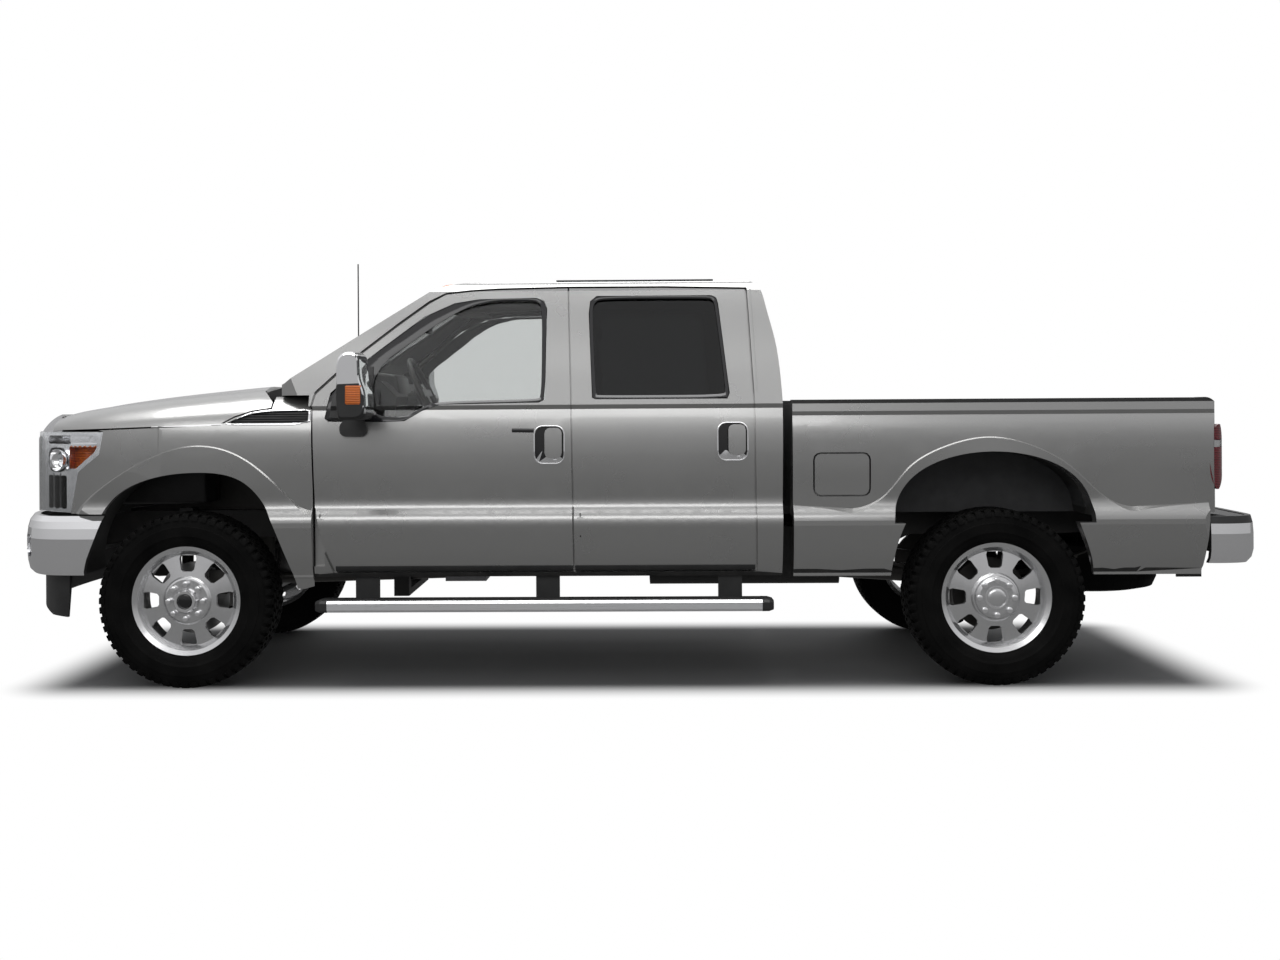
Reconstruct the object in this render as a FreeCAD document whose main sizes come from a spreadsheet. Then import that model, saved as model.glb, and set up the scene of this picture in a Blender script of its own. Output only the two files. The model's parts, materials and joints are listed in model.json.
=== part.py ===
import FreeCAD, Part
import Sketcher
import math
import os

# A full-size four-door pickup truck with a short load bed.
# X runs rearward, Y to the truck's right side and Z up from the ground, in millimetres.

SIZES = {
    "overall_length": 6269,
    "wheelbase": 3967,
    "front_overhang": 968,
    "front_track": 1735,
    "rear_track": 1707,
    "tyre_radius": 432.7,
    "tyre_width": 275,
    "rim_radius": 268,
    "panel_gap": 8,
    "door_skin": 8,
    "door_thickness": 100,
    "frame_depth": 45,
    "glass_thickness": 5,
    "body_top": 2036,
    "bed_floor_height": 890,
    "rail_half_width": 440,
    "rail_width": 70,
    "rail_depth": 180,
    "rail_bottom": 562,
    "axle_tube_radius": 45,
    "hub_radius": 60,
    "kingpin_offset": 750,
    "steering_arm": 170,
    "rim_seat": 257,
    "window_inner": 142,
    "window_outer": 222,
    "window_width": 84,
    "wheel_windows": 8,
    "spindle_radius": 40,
    "hub_seat": 10,
    "engine_length": 650,
    "engine_width": 580,
    "engine_height": 570,
    "engine_bottom": 700,
    "gearbox_length": 800,
    "gearbox_width": 260,
    "gearbox_height": 265,
    "transfer_length": 220,
    "transfer_width": 390,
    "transfer_height": 250,
    "tank_length": 1000,
    "tank_width": 280,
    "tank_height": 312,
    "tank_bottom": 430,
    "moonroof_length": 824,
    "moonroof_width": 840,
    "rod_radius": 16,
    "rod_height": 325.7,
    "stud_radius": 8,
    "receiver_outer": 76,
    "receiver_inner": 51,
    "pin_hole_radius": 8.35,
    "ball_hole_radius": 13.1,
    "hood_thickness": 22,
    "roof_thickness": 45,
}

doc = FreeCAD.newDocument("pickup_truck")
sheet = doc.addObject("Spreadsheet::Sheet", "sizes")
for row, (name, value) in enumerate(SIZES.items(), start=1):
    sheet.set(f"A{row}", name)
    sheet.set(f"B{row}", str(value))
    sheet.setAlias(f"B{row}", name)
doc.recompute()

nodes = []


def size(name):
    return float(sheet.get(name))


def v(x, y, z):
    return FreeCAD.Vector(x, y, z)


def spline(points):
    curve = Part.BSplineCurve()
    curve.interpolate(points)
    return curve.toShape()


def lines(points):
    return [Part.makeLine(a, b) for a, b in zip(points, points[1:]) if (a - b).Length > 1e-6]


def closed_wire(runs):
    """A closed wire from runs of points, where each run is ("curve", points) or ("line", points)."""
    edges = []
    ends = []
    for kind, points in runs:
        if ends and (ends[-1] - points[0]).Length > 1e-6:
            edges.append(Part.makeLine(ends[-1], points[0]))
        edges += [spline(points)] if kind == "curve" else lines(points)
        ends += [points[0], points[-1]]
    if (ends[-1] - ends[0]).Length > 1e-6:
        edges.append(Part.makeLine(ends[-1], ends[0]))
    return Part.Wire(edges)


def side_prism(near, far, *runs):
    """A prism across the truck from y = near to y = far, with its outline in (x, z)."""
    wire = closed_wire([(kind, [v(x, near, z) for x, z in points]) for kind, points in runs])
    return Part.Face(wire).extrude(v(0, far - near, 0))


def section_prism(front, rear, *runs):
    """A prism along the truck from x = front to x = rear, with its outline in (y, z)."""
    wire = closed_wire([(kind, [v(front, y, z) for y, z in points]) for kind, points in runs])
    return Part.Face(wire).extrude(v(rear - front, 0, 0))


def plan_prism(bottom, top, *runs):
    """A prism from z = bottom to z = top, with its outline in (x, y)."""
    wire = closed_wire([(kind, [v(x, y, bottom) for x, y in points]) for kind, points in runs])
    return Part.Face(wire).extrude(v(0, 0, top - bottom))


def block(x0, x1, y0, y1, z0, z1):
    return Part.makeBox(x1 - x0, y1 - y0, z1 - z0, v(x0, y0, z0))


def bar(start, end, radius):
    """A round bar between two points."""
    return Part.makeCylinder(radius, (end - start).Length, start, end - start)


def solid_between(outer, inner):
    """A panel between two smooth surfaces, each through a grid of points."""
    faces = []
    surfaces = []
    for grid in (outer, inner):
        surface = Part.BSplineSurface()
        surface.interpolate(grid)
        surfaces.append(surface)
        faces.append(surface.toShape())
    rims = []
    for surface in surfaces:
        u0, u1, w0, w1 = surface.bounds()
        rims.append([surface.uIso(u0), surface.uIso(u1), surface.vIso(w0), surface.vIso(w1)])
    for a, b in zip(*rims):
        faces.append(Part.makeRuledSurface(a.toShape(), b.toShape()))
    shell = Part.makeShell(faces)
    shell.sewShape()
    solid = Part.Solid(shell)
    if solid.Volume < 0:
        solid.reverse()
    return solid


def cut(base, *tools):
    for tool in tools:
        base = base.cut(tool)
    return base


def mirror(shape):
    return shape.mirror(v(0, 0, 0), v(0, 1, 0))


def both(shape):
    return [shape, mirror(shape)]


def fuse(*shapes):
    shapes = [part for shape in shapes for part in (shape if isinstance(shape, list) else [shape])]
    return shapes[0].fuse(shapes[1:]).removeSplitter() if len(shapes) > 1 else shapes[0]


def add(label, shape):
    """A sub-part of the document. Solids that stay apart may share one."""
    if isinstance(shape, list):
        shape = Part.makeCompound(shape) if len(shape) > 1 else shape[0]
    part = doc.addObject("Part::Feature", label)
    part.Label = label
    part.Shape = shape
    part.Placement = FreeCAD.Placement()
    nodes.append(part)
    return part


def bound(obj, **values):
    """Ties an object's sizes to the sheet, or to plain numbers."""
    for key, value in values.items():
        obj.setExpression({"x": "Placement.Base.x", "y": "Placement.Base.y", "z": "Placement.Base.z"}.get(key, key),
                          str(value))
    return obj


def sized_box(name, **values):
    return bound(doc.addObject("Part::Box", name), **values)


def sized_rod(name, along, **values):
    """A round bar whose axis points along X, Y or Z."""
    rod = doc.addObject("Part::Cylinder", name)
    turn = {"X": (v(0, 1, 0), 90), "Y": (v(1, 0, 0), -90), "Z": (v(0, 0, 1), 0)}[along]
    rod.Placement = FreeCAD.Placement(v(0, 0, 0), FreeCAD.Rotation(*turn))
    return bound(rod, **values)


def joined(name, pieces):
    whole = doc.addObject("Part::MultiFuse", name)
    whole.Shapes = pieces
    whole.Refine = True
    return whole


def less(name, base, tool):
    rest = doc.addObject("Part::Cut", name)
    rest.Base = base
    rest.Tool = tool
    return rest


def keep(label, part):
    """Names a finished sub-part."""
    part.Label = label
    nodes.append(part)
    return part


def mirrored(label, source):
    """The same sub-part on the truck's other side."""
    twin = doc.addObject("Part::Mirroring", label)
    twin.Source = source
    twin.Normal = v(0, 1, 0)
    return keep(label, twin)


def origin_of(body, role):
    return next(feature for feature in body.Origin.OriginFeatures if feature.Role == role)


def outline_sketch(body, role, name, points):
    """A closed sketch on a body's own plane, each corner held by two bound distances."""
    sketch = body.newObject("Sketcher::SketchObject", name)
    sketch.AttachmentSupport = (origin_of(body, role), [""])
    sketch.MapMode = "FlatFace"
    count = len(points)
    first = [v(200 + 90 * math.cos(2 * math.pi * i / count), 90 * math.sin(2 * math.pi * i / count), 0)
             for i in range(count)]
    for i in range(count):
        sketch.addGeometry(Part.LineSegment(first[i], first[(i + 1) % count]), False)
    for i in range(count):
        sketch.addConstraint(Sketcher.Constraint("Coincident", i, 2, (i + 1) % count, 1))
    for i, place in enumerate(points):
        for kind, value, begin in zip(("DistanceX", "DistanceY"), place, first[i]):
            index = sketch.addConstraint(Sketcher.Constraint(kind, -1, 1, i, 1, begin))
            sketch.renameConstraint(index, f"{kind}{i}")
            sketch.setExpression(f"Constraints.{kind}{i}", str(value))
    return sketch


LENGTH = size("overall_length")
FRONT = -LENGTH / 2
REAR = LENGTH / 2
FRONT_AXLE = FRONT + size("front_overhang")
REAR_AXLE = FRONT_AXLE + size("wheelbase")
RADIUS = size("tyre_radius")
GAP = size("panel_gap")
HALF_GAP = GAP / 2
WIDE = 1300
TALL = 2400

# The truck's side, seen from behind: half-width against height, below and above the belt line.
BELT = 1386
LOWER_SIDE = [(950, 545), (974, 600), (991, 680), (1000, 760), (1003, 815), (995, 848), (974, 882), (968, 910),
              (970, 960), (975, 1060), (976, 1160), (971, 1270), (957, 1364)]
UPPER_SIDE = [(965, BELT), (942, 1440), (902, 1540), (848, 1700), (794, 1850), (748, 1960)]
ROOF_SIDE = [(748, 1960), (715, 1995), (630, 2014), (400, 2029), (0, size("body_top"))]
BED_SIDE = [(966, 545), (968, 910), (970, 960), (975, 1060), (976, 1160), (972, 1260), (958, 1326)]
BED_RIM = [(966, 1346), (962, 1384)]
FENDER_SIDE = [(966, 545), (968, 910), (970, 960), (975, 1060), (976, 1160), (972, 1250), (962, 1302), (946, 1340),
               (919, 1376), (880, 1405), (840, 1428), (806, 1441)]


def inset(curve, depth):
    return [(y - depth, z) for y, z in curve]


def left(curve):
    return [(-y, z) for y, z in curve]


def side_layer(front, rear, near, far):
    """The left side's wall between two depths under its outer surface."""
    outer = [("curve", left(inset(LOWER_SIDE, near))), ("curve", left(inset(UPPER_SIDE, near))),
             ("line", [(-inset(ROOF_SIDE, near)[1][0], 1995), (-inset(ROOF_SIDE, far)[1][0], 1995)]),
             ("curve", left(inset(UPPER_SIDE, far))[::-1]), ("curve", left(inset(LOWER_SIDE, far))[::-1])]
    return section_prism(front, rear, *outer)


def cab_solid(front, rear, depth, top_drop, bottom):
    """The left half of the cab's section over a length, with its walls drawn in by a depth."""
    half = [("line", [(0, bottom), (LOWER_SIDE[0][0] - depth, bottom)]),
            ("curve", inset(LOWER_SIDE, depth)), ("curve", inset(UPPER_SIDE, depth)),
            ("curve", [(max(y - depth, 0), z - top_drop) for y, z in ROOF_SIDE])]
    return mirror(section_prism(front, rear, *half))


# Cuts between the side panels, from the belt down and up, seen from the left.
FENDER_CUT = [(-1546, BELT), (-1544, 1314), (-1539, 1100), (-1534, 903), (-1489, 708), (-1436, 572)]
PILLAR_LINE = [(-1546, BELT), (-1530, 1450), (-1370, 1605), (-1125, 1800), (-985, 1905), (-905, 1948)]
TOP_LINE = [(-905, 1948), (-780, 1962), (-640, 1970), (-287, 1977), (190, 1976), (604, 1966)]
MIDDLE_CUT = [(-288, 1977), (-269, 1394), (-258, 572)]
REAR_CUT = [(604, 1966), (625, 1388), (632, 572)]
SILL = 572
SILL_TOP = 640


def moved(points, dx, dz=0):
    return [(x + dx, z + dz) for x, z in points]


def door_outline(which, grow):
    """A door's outline, grown outward by an amount, as runs for side_prism."""
    low = SILL - grow
    if which == "front":
        top = [point for point in moved(TOP_LINE, 0, grow) if point[0] <= -287]
        rear_edge = moved(MIDDLE_CUT, grow)
        return [("line", [(-1436 - grow, low)] + moved(FENDER_CUT, -grow)[::-1][1:]),
                ("line", moved(PILLAR_LINE, -grow, grow)[1:-1]),
                ("line", top[:-1] + [(rear_edge[0][0], top[-1][1])]),
                ("line", [rear_edge[1], (rear_edge[2][0], low)])]
    top = [point for point in moved(TOP_LINE, 0, grow) if point[0] > -287]
    front_edge = moved(MIDDLE_CUT, -grow)
    rear_edge = moved(REAR_CUT, grow)
    return [("line", [(front_edge[2][0], low), front_edge[1], (front_edge[0][0], 1977 + grow)]),
            ("line", top[:-1] + [(rear_edge[0][0], top[-1][1])]),
            ("line", [rear_edge[1], (rear_edge[2][0], low)])]


FRONT_WINDOW = [(-1463, 1309), (-1481, 1325), (-1456, 1451), (-1277, 1624), (-1008, 1832), (-860, 1900),
                (-738, 1920), (-449, 1925), (-410, 1910), (-393, 1868), (-397, 1412), (-427, 1397), (-912, 1389),
                (-1000, 1360), (-1086, 1310), (-1180, 1306)]
REAR_WINDOW = [(-167, 1419), (-185, 1843), (-178, 1905), (-145, 1932), (431, 1932), (455, 1920), (464, 1890),
               (509, 1438), (496, 1411), (-150, 1411)]


def shrunk(points, amount):
    """A window outline moved in by about an amount on every side."""
    cx = sum(x for x, z in points) / len(points)
    cz = sum(z for x, z in points) / len(points)
    sx = 1 - 2 * amount / (max(x for x, z in points) - min(x for x, z in points))
    sz = 1 - 2 * amount / (max(z for x, z in points) - min(z for x, z in points))
    return [(cx + (x - cx) * sx, cz + (z - cz) * sz) for x, z in points]


def shield_width():
    """The windscreen's width at each height."""
    return section_prism(-1800, -900, ("line", [(-860, 1470), (860, 1470), (690, 1945), (-690, 1945)]))


def build_cab():
    """Roof, pillars, rear wall, sills, floor and firewall in one welded shell."""
    side = [("line", [(-1560, 545), (-1560, 1440), (CAB_FRONT, 1440), (CAB_FRONT, 1494)]),
            ("line", [(-1700, 1500), (-985, 1962)]),
            ("curve", [(-985, 1962), (-900, 1992), (-760, 2014), (-500, 2030), (-130, 2036), (381, 2032),
                       (600, 2018), (655, 1992), (700, 1880), (741, 1700), (762, 1500), (766, 1380)]),
            ("line", [(766, 1380), (758, 545)])]
    cavity_side = [("line", [(-1490, 760), (-1490, 1440), (-1560, 1470)]),
                   ("line", [(-1520, 1490), (-930, 1915)]),
                   ("line", [(-850, 1965), (-130, 1985), (560, 1975), (660, 1700), (700, 1390), (700, 760)])]
    outer = cab_solid(-1720, 770, 0, 0, 545).common(side_prism(-WIDE, WIDE, *side))
    cavity = cab_solid(-1720, 770, size("door_thickness") + 20, size("roof_thickness"), 545)
    shell = outer.cut(cavity.common(side_prism(-WIDE, WIDE, *cavity_side)))
    shell = shell.cut(block(-1570, 780, -840, 840, 500, 742))
    for which in ("front", "rear"):
        ring = side_prism(-WIDE, -500, *door_outline(which, HALF_GAP + 2))
        deep = side_prism(-WIDE, -500, *door_outline(which, -18))
        deep = cut(deep, block(-1600, 800, -850, -400, 500, 765), block(-1600, 800, -WIDE, -400, 500, SILL_TOP))
        shallow = ring.cut(cab_solid(-1800, 800, 22, 10, 400))
        x = DOOR_HINGES[which]
        shell = cut(shell, shallow, deep, block(x - 40, x + 20, -WIDE, -942, 600, 885))
    shield = side_prism(-800, 800, ("line", [(-1760, 1530), (-1000, 2020), (-925, 1880), (-1535, 1450),
                                             (-1660, 1490)]))
    shield = shield.common(shield_width())
    back = plan_prism(1450, 1850, ("line", [(600, -640), (800, -640), (800, 640), (600, 640)]))
    roof_hole = block(-365, 459, -420, 420, 1900, 2100)
    ahead = block(-1800, -1534, -1100, -880, 500, BELT)
    corner = plan_prism(1400, 1600, ("line", [(-1760, -860), (CAB_FRONT, -860), (-1600, -958), (-1600, -1100),
                                              (-1760, -1100)]))
    seam = side_prism(-WIDE, -500, ("line", [(640, 1440), (646, 1440), (628, 1999), (622, 1999)]))
    seam = seam.common(side_layer(600, 700, -1, 3))
    shell = cut(shell, shield, back, roof_hole, ahead, corner, seam)
    for which in DOOR_HINGES:
        shell = shell.fuse(hinge_pin(which))
    return shell.fuse(mirror(shell)).removeSplitter()


def glass_pane(points):
    """A door's window pane, set in the thickness of its frame."""
    depth = size("frame_depth") / 2
    slab = side_layer(-1600, 700, depth, depth + size("glass_thickness"))
    return slab.common(side_prism(-WIDE, -500, ("line", shrunk(points, -8))))


CAB_FRONT = -1715
SEAT_GAP = 0.3
HINGE_Y = 994
HINGE_Z = (770, 830)
HINGE_PIN = 5
DOOR_HINGES = {"front": -1500, "rear": -226}


def hinge_pin(which):
    """A pin in the shelf of the door, on a leaf that comes from the pillar ahead of it."""
    x = DOOR_HINGES[which]
    pin = bar(v(x, -HINGE_Y, HINGE_Z[0] - 20), v(x, -HINGE_Y, HINGE_Z[1] + 20), HINGE_PIN)
    leaf = plan_prism(HINGE_Z[0], HINGE_Z[1], ("line", [(x - 6, -HINGE_Y), (x - 6, -950), (x - 27, -915),
                                                       (x - 27, -870), (x + 6, -930), (x + 6, -HINGE_Y)]))
    return fuse(pin, leaf)


def hinge_slot(which):
    """Room in the door for the leaf as the door swings, with the pin's bore above and below."""
    x = DOOR_HINGES[which]
    bore = bar(v(x, -HINGE_Y, HINGE_Z[0] - 30), v(x, -HINGE_Y, HINGE_Z[1] + 30), HINGE_PIN + RUNNING_CLEARANCE)
    room = plan_prism(HINGE_Z[0] - 6, HINGE_Z[1] + 6, ("line", [(x - 90, -HINGE_Y + 2), (x - 13, -HINGE_Y - 6),
                                                               (x + 13, -HINGE_Y - 6), (x + 130, -930),
                                                               (x + 130, -850), (x - 90, -850)]))
    return fuse(bore, room)


def build_door(which, window):
    """An outer skin over a narrower inner frame, with its window cut through and a handle in a cup."""
    skin_layer = side_layer(-1600, 700, 0, size("door_skin"))
    core = side_layer(-1600, 700, size("door_skin") - 1, size("frame_depth"))
    belly = side_layer(-1600, 700, size("frame_depth") - 1, size("door_thickness"))
    belly = belly.common(block(-1600, 700, -WIDE, -500, 610, BELT + 5))
    skin = skin_layer.common(side_prism(-WIDE, -500, *door_outline(which, -HALF_GAP)))
    above_sill = block(-1600, 700, -WIDE, -500, SILL_TOP + 15, TALL)
    inner = core.common(side_prism(-WIDE, -500, *door_outline(which, -42))).common(above_sill)
    deep = belly.common(side_prism(-WIDE, -500, *door_outline(which, -48))).common(above_sill)
    opening = side_prism(-WIDE, -500, ("line", window))
    depth = size("frame_depth") / 2
    groove = side_layer(-1600, 700, depth - 0.2, depth + size("glass_thickness") + 0.2)
    groove = groove.common(side_prism(-WIDE, -500, ("line", shrunk(window, -8.5))))
    boss, cup, pull = door_handle(*HANDLES[which])
    return fuse(cut(fuse(skin, inner, deep, boss), opening, groove, hinge_slot(which), cup), pull)


HANDLES = {"front": (-447, 1101), "rear": (450, 1113)}
CUP = (140, 178)


def door_handle(x, z):
    """A rounded cup sunk in the door, the metal behind it, and an upright pull on two posts."""
    wide, high = CUP
    behind = side_layer(x - 10, x + wide + 8, size("door_skin") - 1, CUP_DEPTH + 6)
    boss = behind.common(side_prism(-WIDE, -500, ("line", rounded(x - 8, x + wide + 7, z - 8, z + high + 8, 40))))
    cup = side_layer(x - 10, x + wide + 10, -6, CUP_DEPTH)
    cup = cup.common(side_prism(-WIDE, -500, ("line", rounded(x, x + wide, z, z + high, 38))))
    grip = side_layer(x, x + wide, -14, -2).common(
        side_prism(-WIDE, -500, ("line", rounded(x + 48, x + wide - 8, z + 24, z + high - 6, 26))))
    feet = [side_prism(-WIDE, -500, ("line", rounded(x + 62, x + wide - 22, low, low + 26, 8)))
            for low in (z + 32, z + 138)]
    posts = [side_layer(x, x + wide, -3, CUP_DEPTH + 1).common(foot) for foot in feet]
    return boss, cup, fuse(grip, posts)


CUP_DEPTH = 20


WHEEL_ARCH = [(-2560, 480), (-2590, 700), (-2576, 860), (-2526, 933), (-2378, 1021), (-2117, 1063), (-1887, 1018),
              (-1780, 905), (-1693, 709), (-1635, 548), (-1610, 440)]
FLARE_EDGE = [(-2745, 760), (-2717, 870), (-2578, 1021), (-2380, 1145), (-2119, 1219), (-1930, 1185), (-1791, 1100),
              (-1644, 953), (-1590, 905), (-1546, 892)]
REAR_ARCH = [(1285, 440), (1289, 565), (1338, 768), (1470, 962), (1600, 1035), (1784, 1071), (1960, 1035),
             (2096, 958), (2206, 764), (2262, 595), (2270, 440)]
REAR_FLARE = [(1100, 888), (1170, 905), (1230, 938), (1352, 1083), (1540, 1195), (1763, 1241), (1990, 1195),
              (2196, 1073), (2340, 937), (2400, 905), (2470, 892)]


def raised_plate(edge, low_run, inner_y, outer_y, slope):
    """The lower side that stands proud, with a sloped upper border along a curved edge."""
    shrink = []
    for i, (x, z) in enumerate(edge):
        a = edge[max(i - 1, 0)]
        b = edge[min(i + 1, len(edge) - 1)]
        length = math.hypot(b[0] - a[0], b[1] - a[1])
        nx, nz = (b[1] - a[1]) / length, -(b[0] - a[0]) / length
        shrink.append((x + nx * slope, z + nz * slope))
    shrink[0] = (edge[0][0] if abs(nz) > 0 and edge[0][0] > 0 else shrink[0][0], shrink[0][1])
    shrink[-1] = (edge[-1][0], shrink[-1][1])
    base = closed_wire([("curve", [v(x, -inner_y, z) for x, z in edge]),
                        ("line", [v(x, -inner_y, z) for x, z in low_run])])
    face = closed_wire([("curve", [v(x, -outer_y, z) for x, z in shrink]),
                        ("line", [v(x, -outer_y, z) for x, z in low_run])])
    return Part.makeLoft([base, face], True, True)


def lower_bound(front, rear):
    """Everything inside the side's outline below the belt, a little wider at the flares."""
    grown = [(y + 9, z) for y, z in LOWER_SIDE]
    return section_prism(front, rear, ("line", [(-300, 400), (-940, 400)]), ("curve", left(grown)),
                         ("line", [(-955, 1500), (-300, 1500)]))


FENDER_PLAN = [(-1540, -1040), (-2300, -1040), (-2620, -1000), (-2800, -945), (-2880, -885), (-2880, -500),
               (-1540, -500)]
FENDER_WALL = 26
VENT = [(-1968, 1304), (-1922, 1325), (-1848, 1350), (-1760, 1361), (-1564, 1365), (-1564, 1304)]


def fender_layer(front, rear, near, far):
    """The fender's wall between two depths under its outer surface."""
    outer = [(y - near, z - near * 0.5) for y, z in FENDER_SIDE]
    inner = [(y - far, z - far * 0.5) for y, z in FENDER_SIDE]
    return section_prism(front, rear, ("curve", left(outer)), ("curve", left(inner)[::-1]))


HOOD_REAR = [(-1757, -880), (-1800, -800), (-1860, -600), (-1885, 0), (-1860, 600), (-1800, 800), (-1757, 880)]
HOOD_SEAM = [(-2890, 1262), (-2813, 1271), (-2595, 1277), (-2250, 1289), (-1995, 1299), (-1930, 1335),
             (-1850, 1362), (-1757, 1376)]


def build_fender():
    """The left front fender with its flare, shoulder and vent, cut for the headlamp, the door and the wheel."""
    skin = fender_layer(-2880, FENDER_REAR, 0, FENDER_WALL)
    nose = plan_band(front_plan(0, -2300), FENDER_WALL, 500, 1300)
    skin = fuse(skin.common(block(-2300, -1500, -1100, -500, 400, 1500)), nose)
    panel = side_prism(-WIDE, -500, ("line", moved(HOOD_SEAM[2:-1], 0, -HALF_GAP)),
                       ("line", [(HOOD_BACK + GAP, 1376 - HALF_GAP), (HOOD_BACK + GAP, SHOULDER_TOP),
                                 (FENDER_REAR - 24, SHOULDER_TOP), (FENDER_REAR - 24, 1372),
                                 (FENDER_REAR - 10, 1372)]),
                       ("line", moved(FENDER_CUT, -HALF_GAP)[1:]),
                       ("line", [(-1410, 535), (-1584, 488), (-2700, 488)]), ("line", LAMP_REAR[::-1]))
    skin = skin.common(panel).cut(block(-1800, -1500, -806, -500, 1300, 1500))
    low_run = moved(FENDER_CUT, -HALF_GAP)[3:] + [(-1410, 535), (-1584, 488), (-2745, 488)]
    plate = raised_plate(FLARE_EDGE, low_run, 940, 1012, 46).common(lower_bound(-2900, -1300))
    shape = fuse(skin, plate).common(plan_prism(400, 1500, ("line", FENDER_PLAN)))
    arch = side_prism(-WIDE, -500, ("curve", WHEEL_ARCH))
    front = side_prism(-WIDE, -500, ("line", [(-2900, 400), (-2400, 400), (-2520, 862), (-2900, 862)]))
    vent = side_prism(-WIDE, -500, ("line", VENT))
    recess = vent.common(fender_layer(-2000, FENDER_REAR, -30, 14))
    slats = fuse([block(-2000, -1566, -WIDE, -500, z, z + 5) for z in (1314, 1326, 1338, 1350)])
    slats = slats.common(vent).common(fender_layer(-2000, FENDER_REAR, 5, 15))
    return fuse(cut(shape, arch, front, recess), slats)


FENDER_REAR = -1540
HOOD_BACK = -1757
SHOULDER_TOP = 1434


HOOD_ACROSS = [(0, 0), (0.30, 0.006), (0.41, 0.02), (0.47, 0.05), (0.53, 0.085), (0.62, 0.11), (0.74, 0.15),
               (0.83, 0.21), (0.90, 0.33), (0.955, 0.51), (0.985, 0.74), (1.0, 1.0)]
HOOD_WAIST = 1255


def hood_crown(x):
    """The hood's height along its middle."""
    return 1349 + 145 * min(max((x + 2880) / 990.0, 0), 1) ** 0.62


def hood_edge(x):
    """The hood's half-width at its side seams."""
    plan = [(px, -py - 3) for px, py in front_plan(0)] + [(-3000, 690)]
    if x >= plan[0][0]:
        return 964 + (plan[0][1] - 964) * (HOOD_BACK - x) / (HOOD_BACK - plan[0][0])
    for (ax, ay), (bx, by) in zip(plan, plan[1:]):
        if bx <= x <= ax:
            return ay + (by - ay) * (x - ax) / (bx - ax)
    return plan[-1][1]


def front_plan(grow, rear=-2300):
    """The plan outline of the nose's left corner, from the fender to the grille, moved outward."""
    return [(rear, -978 - grow), (-2580, -968 - grow), (-2700, -946 - grow), (-2800, -902 - grow),
            (-2880, -838 - grow), (-2950, -765 - grow), (-3000, -690 - grow)]


HOOD_HINGE = (-1742, 1462)
HOOD_HINGE_Y = 600


def build_hood():
    """The hood panel with its raised middle, from the grille to the cowl and down to the fender seams."""
    xs = [-2900, -2850, -2790, -2700, -2600, -2450, -2300, -2150, -2000, -1880, -1750]
    across = [(-a, drop) for a, drop in HOOD_ACROSS[:0:-1]] + HOOD_ACROSS

    def level(x, drop):
        return hood_crown(x) - (hood_crown(x) - HOOD_WAIST) * drop

    top = [[v(x, a * hood_edge(x), level(x, drop)) for a, drop in across] for x in xs]
    under = [[v(x, a * (hood_edge(x) - 24), level(x, drop) - size("hood_thickness")) for a, drop in across]
             for x in xs]
    panel = solid_between(top, under)
    bound_side = side_prism(-WIDE, WIDE, ("line", moved([(-2885, 1262)] + HOOD_SEAM[1:], 0, HALF_GAP)),
                            ("line", [(HOOD_BACK, 1600), (-2876, 1600), (-2876, 1349)]))
    plan = [(-2876, -700), (-2876, -835), (-2800, -902), (-2700, -946), (-2580, -968), (-2300, -978),
            (HOOD_BACK, -978), (HOOD_BACK, -880)]
    outline = plan_prism(1200, 1600, ("line", plan), ("curve", HOOD_REAR),
                         ("line", [(x, -y) for x, y in plan[::-1]]))
    panel = panel.common(bound_side).common(outline)
    arms = []
    for s in (-1, 1):
        y = s * HOOD_HINGE_Y
        arm = side_prism(y - 6, y + 6, ("line", [(-1940, 1440), (-1920, 1456), (-1850, 1462), (-1742, 1474),
                                                 (-1742, 1450), (-1850, 1438)]))
        eye = bar(v(HOOD_HINGE[0], y - 6, HOOD_HINGE[1]), v(HOOD_HINGE[0], y + 6, HOOD_HINGE[1]), 12)
        arms.append(fuse(arm, eye))
    pin = bar(v(HOOD_HINGE[0], -800, HOOD_HINGE[1]), v(HOOD_HINGE[0], 800, HOOD_HINGE[1]),
              HINGE_PIN + RUNNING_CLEARANCE)
    return fuse(panel, arms).cut(pin)


LAMP_REAR = [(-2574, 1268), (-2594, 1155), (-2708, 1068), (-2750, 868)]


def offset(curve, depth):
    """A plan curve drawn in by a depth."""
    inner = []
    for i, (x, y) in enumerate(curve):
        a = curve[max(i - 1, 0)]
        b = curve[min(i + 1, len(curve) - 1)]
        length = math.hypot(b[0] - a[0], b[1] - a[1])
        inner.append((x + (a[1] - b[1]) / length * -depth, y + (b[0] - a[0]) / length * -depth))
    return inner


def plan_band(curve, depth, bottom, top):
    """A strip that follows a plan curve and stands between two heights, drawn in by a depth."""
    return plan_prism(bottom, top, ("curve", curve), ("curve", offset(curve, depth)[::-1]))


LENS = 5
LAMP_DEPTH = 90


def nose_layer(near, far, bottom, top):
    """A strip round the nose's left corner between two depths."""
    curve = front_plan(0, -2450)
    outer = [(x, y) for x, y in offset(curve, near)]
    inner = [(x, y) for x, y in offset(curve, far)]
    return plan_prism(bottom, top, ("curve", outer), ("curve", inner[::-1]))


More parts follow.
